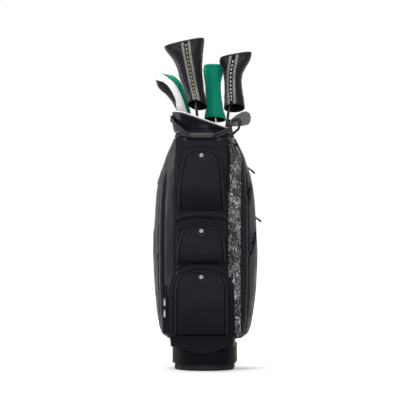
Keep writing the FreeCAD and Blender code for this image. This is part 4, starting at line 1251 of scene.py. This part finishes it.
def zip_points(across, sink, z):
    """Points across the zip's face, sunk into it, at a height."""
    across, sink, z = (each[..., None] for each in np.broadcast_arrays(across, sink, z))
    return ZIP_FACE + ZIP_ACROSS * across - ZIP_OUT * sink + np.array([0.0, 0.0, 1.0]) * z


def soft_box(name, low, high, radius, material, slot, replaces=()):
    """Box with soft edges, standing in the shared frame."""
    verts = [(x, y, z) for z in (low[2], high[2]) for y in (low[1], high[1]) for x in (low[0], high[0])]
    faces = [(0, 2, 3, 1), (4, 5, 7, 6), (0, 1, 5, 4), (2, 6, 7, 3), (0, 4, 6, 2), (1, 3, 7, 5)]
    box = build(name, verts, faces, MAT[material])
    soften = box.modifiers.new("soft_edges", "BEVEL")
    soften.width = radius
    soften.segments = 4
    soften.limit_method = "NONE"
    ride(box, "bag", slot, replaces)


def make_left_zip():
    z, share = np.meshgrid(np.linspace(ZIP_LOW, ZIP_HIGH, 60), np.linspace(-1, 1, 9), indexing="ij")
    outer = zip_points(share * TAPE_HALF_WIDTH, 0.0004 + 0.0020 * np.abs(share) ** 3, z)
    tape = slab("left_zip_tape", outer, outer - ZIP_OUT * TAPE_BACK, MAT["zip_tape"])
    ride(tape, "bag", "zip", ["zip_tracks"])
    heights = np.arange(ZIP_LOW + 0.004, ZIP_HIGH - 0.004, TOOTH_PITCH / 2)
    zip_teeth("left_zip_teeth", zip_points(0.0, 0.0, heights), ZIP_OUT, 0.0034)
    heights = np.linspace(ZIP_LOW - 0.004, ZIP_HIGH + 0.004, 40)
    for side, label in ((-1, "outer"), (1, "inner")):
        pipe("left_zip_welt_" + label, zip_points(side * (TAPE_HALF_WIDTH + 0.0012), 0.0012, heights), 0.0023)
    for height, label in ((ZIP_LOW - 0.001, "low"), (ZIP_HIGH + 0.001, "top")):
        pipe("left_zip_stop_" + label, zip_points(np.linspace(-0.0095, 0.0095, 8), 0.0004, height), 0.0028)


# ---- sliders at the ends of the right pocket's zips ----
RIGHT_LUGS = {"top": (0.070, 0.720), "low": (0.062, 0.541)}      # y and z
LUG_REACH = 0.004                           # the tabs' roots stand this far off the skin


def make_right_lugs():
    """Small sliders that the pull tabs hang from."""
    turn = np.linspace(0, math.pi, 12)
    for label, (y, z) in RIGHT_LUGS.items():
        root_x = skin_width(z) + LUG_REACH
        soft_box("right_slider_" + label, (root_x - 0.009, y - 0.004, z - 0.006),
                 (root_x - 0.0024, y + 0.004, z + 0.006), 0.0012, "zip_coil", "zip")
        loop = points_at(root_x - 0.003 + 0.0042 * np.sin(turn), y, z + 0.0022 * np.cos(turn))
        pipe("right_slider_loop_" + label, loop, 0.0009, "zip_coil", 7, ("bag", "zip"))


# ---- piping and stitches along the panels ----
def between(line, low, high):
    """The points of a line between two heights."""
    return line[(line[:, 2] > low) & (line[:, 2] < high)]


def make_panel_piping():
    for column, label in ((0, "left"), (-1, "right")):
        edge = resample(between(panel_face[:, column], 0.118, 0.826), 0.005)
        pipe("panel_piping_" + label, edge + np.array([0.0, -0.0012, 0.0]), 0.0024)
    for share, label in ((0.07, "left"), (0.93, "right")):
        line = between(panel_face[:, int(round(share * (panel_face.shape[1] - 1)))], 0.135, 0.82)
        sew("panel_stitches_" + label, [line + np.array([0.0, -0.0004, 0.0])])


def make_side_seams():
    """Stitched seams on the side pockets, in front of and behind the welted ridge."""
    for face, label in ((left_face, "left"), (right_face, "right")):
        for share in (0.10, 0.52, 0.86):
            column = int(share * face.shape[1])
            line = between(face[:, column], 0.15, 0.80)
            sew(f"{label}_side_stitches_{column}", [line + unit(line * np.array([1.0, 1.0, 0.0])) * 0.0004])


HEM_Z, HEM_INSET = 0.1145, 0.006


def make_hem_piping():
    """Piping round the foot of the side pockets."""
    line, _ = skin_stretch(HEM_Z, FLARE_HALF + 0.003, SPINE_HALF, 80, rear=True)
    line = line - plan_normals(line[None])[0] * HEM_INSET
    pipe("hem_piping_left", line * MIRROR, 0.0026)
    pipe("hem_piping_right", line, 0.0026)


# ---- back: quilted spine pad, shoulder strap and its pad ----
SPINE_PROFILE = np.array([(98, 112), (140, 122), (430, 126), (700, 122), (832, 108)]) * MM
QUILT_FOOT, QUILT_PITCH, QUILT_SEAMS = 0.098, 0.082, 8
PRESSURE, CLOTH_FRAMES = 4.0, 20


def mesh_points(obj):
    points = np.zeros(len(obj.data.vertices) * 3, np.float32)
    obj.data.vertices.foreach_get("co", points)
    return points.reshape(-1, 3).astype(float)


def apply_modifiers(obj):
    graph = bpy.context.evaluated_depsgraph_get()
    mesh = bpy.data.meshes.new_from_object(obj.evaluated_get(graph))
    old = obj.data
    obj.modifiers.clear()
    obj.data = mesh
    bpy.data.meshes.remove(old)


def inflate(obj, voxel, cap):
    """Swell a closed soft shape with a cloth simulation, each point held within cap of where it started."""
    remesh = obj.modifiers.new("remesh", "REMESH")
    remesh.mode = "VOXEL"
    remesh.voxel_size = voxel
    apply_modifiers(obj)
    start = mesh_points(obj)
    cloth = obj.modifiers.new("cloth", "CLOTH")
    cloth.settings.use_pressure = True
    cloth.settings.uniform_pressure_force = PRESSURE
    cloth.settings.quality = 4
    cloth.settings.effector_weights.gravity = 0.0
    cloth.point_cache.frame_start = 1
    cloth.point_cache.frame_end = CLOTH_FRAMES
    for number in range(1, CLOTH_FRAMES + 1):
        bpy.context.scene.frame_set(number)
    apply_modifiers(obj)
    bpy.context.scene.frame_set(1)
    moved = mesh_points(obj) - start
    length = np.linalg.norm(moved, axis=1, keepdims=True)
    moved = moved * np.minimum(1.0, cap / np.maximum(length, 1e-9))
    obj.data.vertices.foreach_set("co", (start + moved).astype(np.float32).ravel())
    obj.data.update()
    smooth = obj.modifiers.new("smooth", "SUBSURF")
    smooth.levels = smooth.render_levels = 1
    obj.data.polygons.foreach_set("use_smooth", [True] * len(obj.data.polygons))


def spine_y(z):
    return np.interp(z, SPINE_PROFILE[:, 0], SPINE_PROFILE[:, 1])


def quilt_row(z):
    """0 on the sewn channels and 1 half-way between them."""
    return np.abs(np.sin(math.pi * (z - QUILT_FOOT) / QUILT_PITCH)) ** 0.5


def make_spine_pad():
    z, share = np.meshgrid(np.linspace(0.0985, 0.8315, 240), np.linspace(-1, 1, 41), indexing="ij")
    x = share * (SPINE_HALF - 0.0010 - 0.0010 * (1 - quilt_row(z)))
    quilt = quilt_row(z) * np.clip((SPINE_HALF - np.abs(x)) / 0.016, 0, 1) ** 0.5
    outer = points_at(x, spine_y(z) - 0.0075 + 0.0105 * quilt, z)
    outer[..., 1] += 0.0006 * ripple(outer, 0.06, 121)
    inner = points_at(x, np.sqrt(TUBE_R ** 2 - x ** 2), z)
    pad = slab("spine_pad_cover", outer, inner, MAT["air_mesh"], flip=True)
    inflate(pad, 0.005, 0.005)
    ride(pad, *FABRIC, ["spine_pad"], padded=0.6)
    across = np.linspace(-0.052, 0.052, 30)
    for number in range(1, QUILT_SEAMS + 1):
        height = QUILT_FOOT + QUILT_PITCH * number
        sew(f"spine_stitches_{number}", [points_at(across, spine_y(height) - 0.0058, height)])
    heights = np.linspace(0.103, 0.826, 150)
    for side, label in ((-1, "left"), (1, "right")):
        edge = points_at(side * (SPINE_HALF + 0.0004), spine_y(heights) - 0.0065, heights)
        pipe("spine_piping_" + label, edge, 0.0024)


STRAP_ROUTE = np.array([(0, 128, 772), (0, 150, 740), (0, 166, 660), (0, 172, 560), (0, 166, 450),
                        (0, 152, 370), (0, 134, 335)]) * MM
STRAP_HALF_WIDTH, STRAP_HALF_THICKNESS = 0.020, 0.0018
PAD_LOW, PAD_HIGH = 0.453, 0.657
PAD_HALF_WIDTH, PAD_HALF_THICK = 0.032, 0.008
SIDEWAYS = np.array([1.0, 0.0, 0.0])


def make_shoulder_strap():
    line = resample(curve_through(STRAP_ROUTE, 8), 0.005)
    strap = band_mesh("strap_webbing", line, SIDEWAYS, STRAP_HALF_WIDTH, STRAP_HALF_THICKNESS)
    ride(strap, "bag", "webbing", ["shoulder_strap"])
    # crowned pad, narrower and thinner towards its two ends
    inside = between(line, PAD_LOW, PAD_HIGH)
    out = np.cross(directions(inside), SIDEWAYS)
    out = out * np.sign(out[:, 1:2])
    turn = full_turn(44)
    a, b = signed_power(np.cos(turn), 0.7), signed_power(np.sin(turn), 0.8)
    channel = 1 - 0.22 * bump_line(np.abs(a) - 0.42, 0.06)
    rows = []
    for i, point in enumerate(inside):
        size = math.sqrt(max(0.0, 1 - abs(2 * i / (len(inside) - 1) - 1) ** 8))
        half = PAD_HALF_WIDTH * (0.30 + 0.70 * size) - 0.0010
        thick = (PAD_HALF_THICK - 0.0012) * (0.25 + 0.75 * size)
        rows.append(point + (a * half)[:, None] * SIDEWAYS + (b * thick * channel)[:, None] * out[i])
    pad = rings("shoulder_pad", rows, MAT["fabric"])
    inflate(pad, 0.004, 0.004)
    ride(pad, *FABRIC, ["strap_pad"], padded=0.7)
    for side, label in ((-1, "left"), (1, "right")):
        seam = inside[3:-3] + out[3:-3] * (PAD_HALF_THICK - 0.0016) + SIDEWAYS * side * 0.0235
        sew("shoulder_pad_stitches_" + label, [seam], "grey_thread")
        edge = inside[2:-2] + SIDEWAYS * side * (PAD_HALF_WIDTH - 0.0022)
        pipe("shoulder_pad_piping_" + label, edge, 0.0020)


def box_stitches(name, y, z, half_width, half_height):
    """Boxed cross of stitches on a webbing end that faces the rear."""
    corners = np.array([(x * half_width, y, z + up * half_height)
                        for x, up in ((-1, -1), (1, -1), (1, 1), (-1, 1))])
    pairs = ((0, 1), (1, 2), (2, 3), (3, 0), (0, 2), (1, 3))
    sew(name, [corners[list(pair)] for pair in pairs], "grey_thread", ("bag", "webbing"))


def make_strap_ends():
    ends = ((STRAP_ROUTE[0], "top", ["strap_anchors"]), (STRAP_ROUTE[-1], "low", []))
    for (_, y, z), label, replaced in ends:
        low, high = (-0.026, 0.1175, z - 0.016), (0.026, y + 0.003, z + 0.016)
        soft_box("strap_anchor_" + label, low, high, 0.0022, "webbing", "webbing", replaced)
        box_stitches("strap_anchor_stitches_" + label, high[1] + 0.0003, z, 0.019, 0.011)


# low and high corner of the tabs at the two ends of the lift handle
LEFT_TAB = ((-0.120, -0.035, 0.886), (-0.100, -0.020, 0.910))
RIGHT_TAB = ((0.088, -0.044, 0.851), (0.1015, -0.029, 0.875))


def make_handle_tabs():
    soft_box("handle_tab_left", *LEFT_TAB, 0.0018, "webbing", "webbing", ["handle_tabs"])
    soft_box("handle_tab_right", *RIGHT_TAB, 0.0018, "webbing", "webbing")


def make_towel_tab():
    """Folded webbing loop that the towel ring hangs in."""
    low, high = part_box("towel_tab")
    soft_box("towel_loop", low, high, 0.0022, "webbing", "webbing", ["towel_tab"])


# ---- full-length fabric dividers inside the tube ----
DIVIDER_ROWS = (-0.038, -0.002, 0.034)
DIVIDER_LOW, DIVIDER_HIGH = 0.0435, 0.8140
INSIDE_R = 0.0944


def make_dividers():
    for number, y in enumerate(DIVIDER_ROWS):
        half = math.sqrt(INSIDE_R ** 2 - (abs(y) + 0.001) ** 2) - 0.0006
        heights = np.linspace(DIVIDER_LOW, DIVIDER_HIGH, 90)
        z, x = np.meshgrid(heights, np.linspace(-half, half, 30), indexing="ij")
        free = np.sin(math.pi * (z - DIVIDER_LOW) / (DIVIDER_HIGH - DIVIDER_LOW))
        wave = 0.0006 * free * np.sin(x * 55 + z * 9 + number)
        front, rear = points_at(x, y + wave - 0.0004, z), points_at(x, y + wave + 0.0004, z)
        sheet = slab(f"divider_{number + 1}", front, rear, MAT["lining"])
        ride(sheet, "bag", "divider_fabric", ["divider_sheets"] if number == 0 else [])


# ---- ribs round the front of the foot ----
FOOT_R, RIB_R = 0.1035, 0.0042
RIB_HEIGHTS = np.array([0.003, 0.008, 0.014, 0.019])
RIB_TURNS = (192, 204, 214, 223, 317, 326, 336, 348)     # degrees, four at each front corner


def make_foot_ribs():
    turns = [math.radians(degrees) for degrees in RIB_TURNS]
    lines = [points_at(FOOT_R * math.cos(turn), FOOT_R * math.sin(turn), RIB_HEIGHTS) for turn in turns]
    # the ribs take the lighter rubber, a painted highlight along them
    ribs = joined("foot_ribs", [tube_mesh(line, RIB_R, 6) for line in lines], MAT["foot_rib_highlight"])
    ride(ribs, "bag", "rubber_feet")


# ---- woven pulls on the sides, and the bound edges of the slanted pocket openings ----
PULL_LENGTH, PULL_ANGLE = {"top": 0.026, "low": 0.020}, math.radians(43)


def make_right_pulls():
    """Cord pulls that hang from the right sliders, swinging with their tabs."""
    share, places = np.linspace(0, 1, 14), [0, 0.15, 0.3, 0.9, 1]
    radius = np.interp(share, places, [0.0016, 0.0022, 0.0033, 0.0035, 0.0022])
    for label, (y, z) in RIGHT_LUGS.items():
        reach = np.linspace(-0.06, 0.98, 14) * PULL_LENGTH[label]
        root_x, tab = skin_width(z) + LUG_REACH, "right_tab_" + label
        line = points_at(root_x + reach * math.cos(PULL_ANGLE), y, z - reach * math.sin(PULL_ANGLE))
        pipe("right_pull_" + label, line, radius, "shade_and_cord", 9, (tab, "pull_black"), [tab])


# top and bottom of each opening as (x, z)
SLITS = {"shoulder": ((0.1690, 0.664), (0.1575, 0.603)), "hip": ((0.1880, 0.493), (0.1690, 0.412))}
SLIT_GAP = 0.0050


def on_right_pocket(x, z):
    """Point on the right side pocket's face at a width and a height, in front of its widest line."""
    row = right_face[int(np.argmin(np.abs(right_face[:, right_face.shape[1] // 4, 2] - z)))]
    reach = np.abs(row[:, 0])
    peak = int(np.argmax(reach))
    x = min(x, reach[peak] - 0.0008)
    return x, np.interp(x, reach[:peak + 1], row[:peak + 1, 1]), z


def make_slits():
    """Slanted pocket openings: a dark tube of painted shade in each mouth, with a bound edge along its front.
    """
    for label, (top, low) in SLITS.items():
        line = [on_right_pocket(top[0] + (low[0] - top[0]) * s ** 0.8, top[1] + (low[1] - top[1]) * s)
                for s in np.linspace(0, 1, 40)]
        line = curve_through(resample(np.array(line), 0.012), 8)
        shape = np.sin(math.pi * np.linspace(0.06, 0.94, len(line))) ** 0.5
        # dark tube of painted shade, standing for the shadow inside the opening
        pipe(f"right_{label}_mouth_shade", line, SLIT_GAP * shape, "shade_and_cord", 10, squash=(1.0, 0.5))
        edge = line + np.array([-0.0035, -0.0035, 0.0]) * shape[:, None]
        pipe(f"right_{label}_binding", edge, 0.0016, "fabric")


def make_left_pull():
    """Short cord loop on the left shoulder, lying down along the pocket's widest line."""
    share, heights = np.linspace(0, 1, 12), np.linspace(0.690, 0.664, 12)
    widths = np.array([skin_width(z) for z in heights])
    pipe("left_pull", points_at(-widths - 0.0024 - 0.0016 * share, 0.044, heights), 0.0022, "shade_and_cord",
         on=("bag", "pull_black"))


def make_panel_gap_shade():
    """Painted shade: dark tubes along the edges where the upper part of the front panel stands clear of its
    neighbours.
    """
    heights = np.linspace(0.645, 0.800, 60)
    widths = np.array([panel_half(z) + 0.0022 for z in heights])
    fronts = np.array([skin_front_y(z, x) - 0.0036 for z, x in zip(heights, widths)])
    fade = np.sin(math.pi * np.linspace(0.04, 0.96, 60)) ** 0.35
    for label, side in (("left", -1.0), ("right", 1.0)):
        # each tube is painted shade in the gap beside the panel
        pipe(label + "_panel_gap_shade", points_at(side * widths, fronts, heights), 0.0030 * fade, "shade_and_cord")


# CAD nodes that stay on show, and how much their sharp edges are rounded, in mm
SOFTENED = {"base_foot": 1.6, "base_collar": 1.2, "rear_feet": 1.2, "divider_grid": 0.7, "cuff_handles": 0.6,
            "strap_buckle": 1.2, "wedge_head": 1.0, "left_tab_top": 0.3, "left_tab_low": 0.3,
            "left_slider_top": 0.4, "left_slider_low": 0.4, "handle_rivets": 0.8}
SHARP_ANGLE = math.radians(35)


def soften_nodes():
    for node, width_mm in SOFTENED.items():
        modifier = NODES[node].modifiers.new("edges", "BEVEL")
        modifier.width = width_mm * MM
        modifier.segments = 3
        modifier.limit_method = "ANGLE"
        modifier.angle_limit = SHARP_ANGLE
        modifier.harden_normals = False


for make in (make_left_zip, make_right_lugs, make_panel_piping, make_side_seams, make_hem_piping,
             make_spine_pad, make_shoulder_strap, make_strap_ends, make_handle_tabs, make_towel_tab,
             make_dividers, make_foot_ribs, make_right_pulls, make_slits, make_left_pull, make_panel_gap_shade,
             soften_nodes):
    make()


# ---- floor, light and camera ----
FLOOR_R = 30.0
# how much white the camera sees in the floor close to the bag and far off, and the distances between which
# it grows
GLOW_NEAR, GLOW_FAR = 0.12, 1.0
GLOW_FROM, GLOW_TO = 0.9, 3.2
FLOOR_BOUNCE = 0.30                         # how pale the floor is for the light it throws back up
AMBIENT = 0.16


def background_rays(tree):
    """1 for the rays that show the background: straight from the camera, mirrored or through glass."""
    rays = tree.nodes.new("ShaderNodeLightPath").outputs
    seen = rays["Is Camera Ray"]
    for other in ("Is Glossy Ray", "Is Transmission Ray"):
        both = tree.nodes.new("ShaderNodeMath")
        both.operation = "MAXIMUM"
        tree.links.new(seen, both.inputs[0])
        tree.links.new(rays[other], both.inputs[1])
        seen = both.outputs[0]
    return seen


def make_stage():
    """Pale round floor that fades to white with distance and meets the white surroundings without an edge."""
    s = Shader("pale_floor", 0.9)
    seen = background_rays(s.tree)
    s.finish(s.mix(seen, (FLOOR_BOUNCE,) * 3, (0.9, 0.9, 0.905)))
    away = s.node("VectorMath", {0: s.places}, operation="LENGTH").outputs["Value"]
    glow = s.spread(away, GLOW_FROM, GLOW_TO, GLOW_NEAR, GLOW_FAR)
    strength = s.math("MULTIPLY", seen, glow)
    white = s.node("Emission", {"Color": (1, 1, 1, 1), "Strength": strength}).outputs["Emission"]
    both = s.node("AddShader", {0: s.shader.outputs[0], 1: white}).outputs[0]
    s.tree.links.new(both, s.tree.nodes["Material Output"].inputs["Surface"])
    turn = full_turn(96)
    rim = points_at(FLOOR_R * np.cos(turn), FLOOR_R * np.sin(turn), 0.0)
    build("floor", rim, [tuple(range(len(rim)))], s.material)


def area_light(name, place, aim, size, watts, size_y=None):
    """Lamp with a square face, or with a size_y tall one, turned towards aim."""
    data = bpy.data.lights.new(name, "AREA")
    data.energy = watts
    data.shape = "RECTANGLE"
    data.size = size
    data.size_y = size_y or size
    light = bpy.data.objects.new(name, data)
    bpy.context.scene.collection.objects.link(light)
    light.location = place
    light.rotation_euler = (Vector(aim) - Vector(place)).to_track_quat("-Z", "Y").to_euler()


def make_lights():
    world = bpy.data.worlds.new("studio")
    world.use_nodes = True
    bpy.context.scene.world = world
    background = world.node_tree.nodes["Background"]
    background.inputs["Color"].default_value = (1, 1, 1, 1)
    level = world.node_tree.nodes.new("ShaderNodeMapRange")
    level.inputs["To Min"].default_value = AMBIENT
    level.inputs["To Max"].default_value = 1.0
    world.node_tree.links.new(background_rays(world.node_tree), level.inputs["Value"])
    world.node_tree.links.new(level.outputs["Result"], background.inputs["Strength"])
    area_light("key", (-1.6, -2.9, 3.0), (0, 0, 0.6), 1.0, 74)
    area_light("front", (0.9, -3.9, 2.1), (0, 0, 0.75), 1.4, 94)
    area_light("left_strip", (-3.0, 0.75, 1.1), (0, 0, 0.6), 0.35, 62, 2.2)
    area_light("right_strip", (3.0, 0.9, 1.2), (0, 0, 0.6), 0.35, 10, 2.2)
    area_light("top", (0.0, 0.4, 3.6), (0, 0, 0.5), 2.0, 55)
    area_light("rear", (0.8, 3.6, 2.2), (0, 0, 0.6), 1.4, 34)


CAMERA_DISTANCE = 7.5
CAMERA_AZIMUTH = 4.7
VIEW_CENTRE = (-0.016, 0.0, 0.607)
VIEW_WIDTH = 1.44


def make_camera():
    data = bpy.data.cameras.new("camera")
    data.sensor_width = 36.0
    data.lens = data.sensor_width / 2 / (VIEW_WIDTH / 2 / CAMERA_DISTANCE)
    data.clip_end = 100
    camera = bpy.data.objects.new("camera", data)
    bpy.context.scene.collection.objects.link(camera)
    turn = math.radians(CAMERA_AZIMUTH)
    back = Vector((math.sin(turn), -math.cos(turn), 0.0))
    camera.location = Vector(VIEW_CENTRE) + back * CAMERA_DISTANCE
    camera.rotation_mode = "QUATERNION"
    camera.rotation_quaternion = (-back).to_track_quat("-Z", "Y")
    bpy.context.scene.camera = camera


make_stage()
make_lights()
make_camera()
bpy.context.scene.view_settings.view_transform = "Standard"
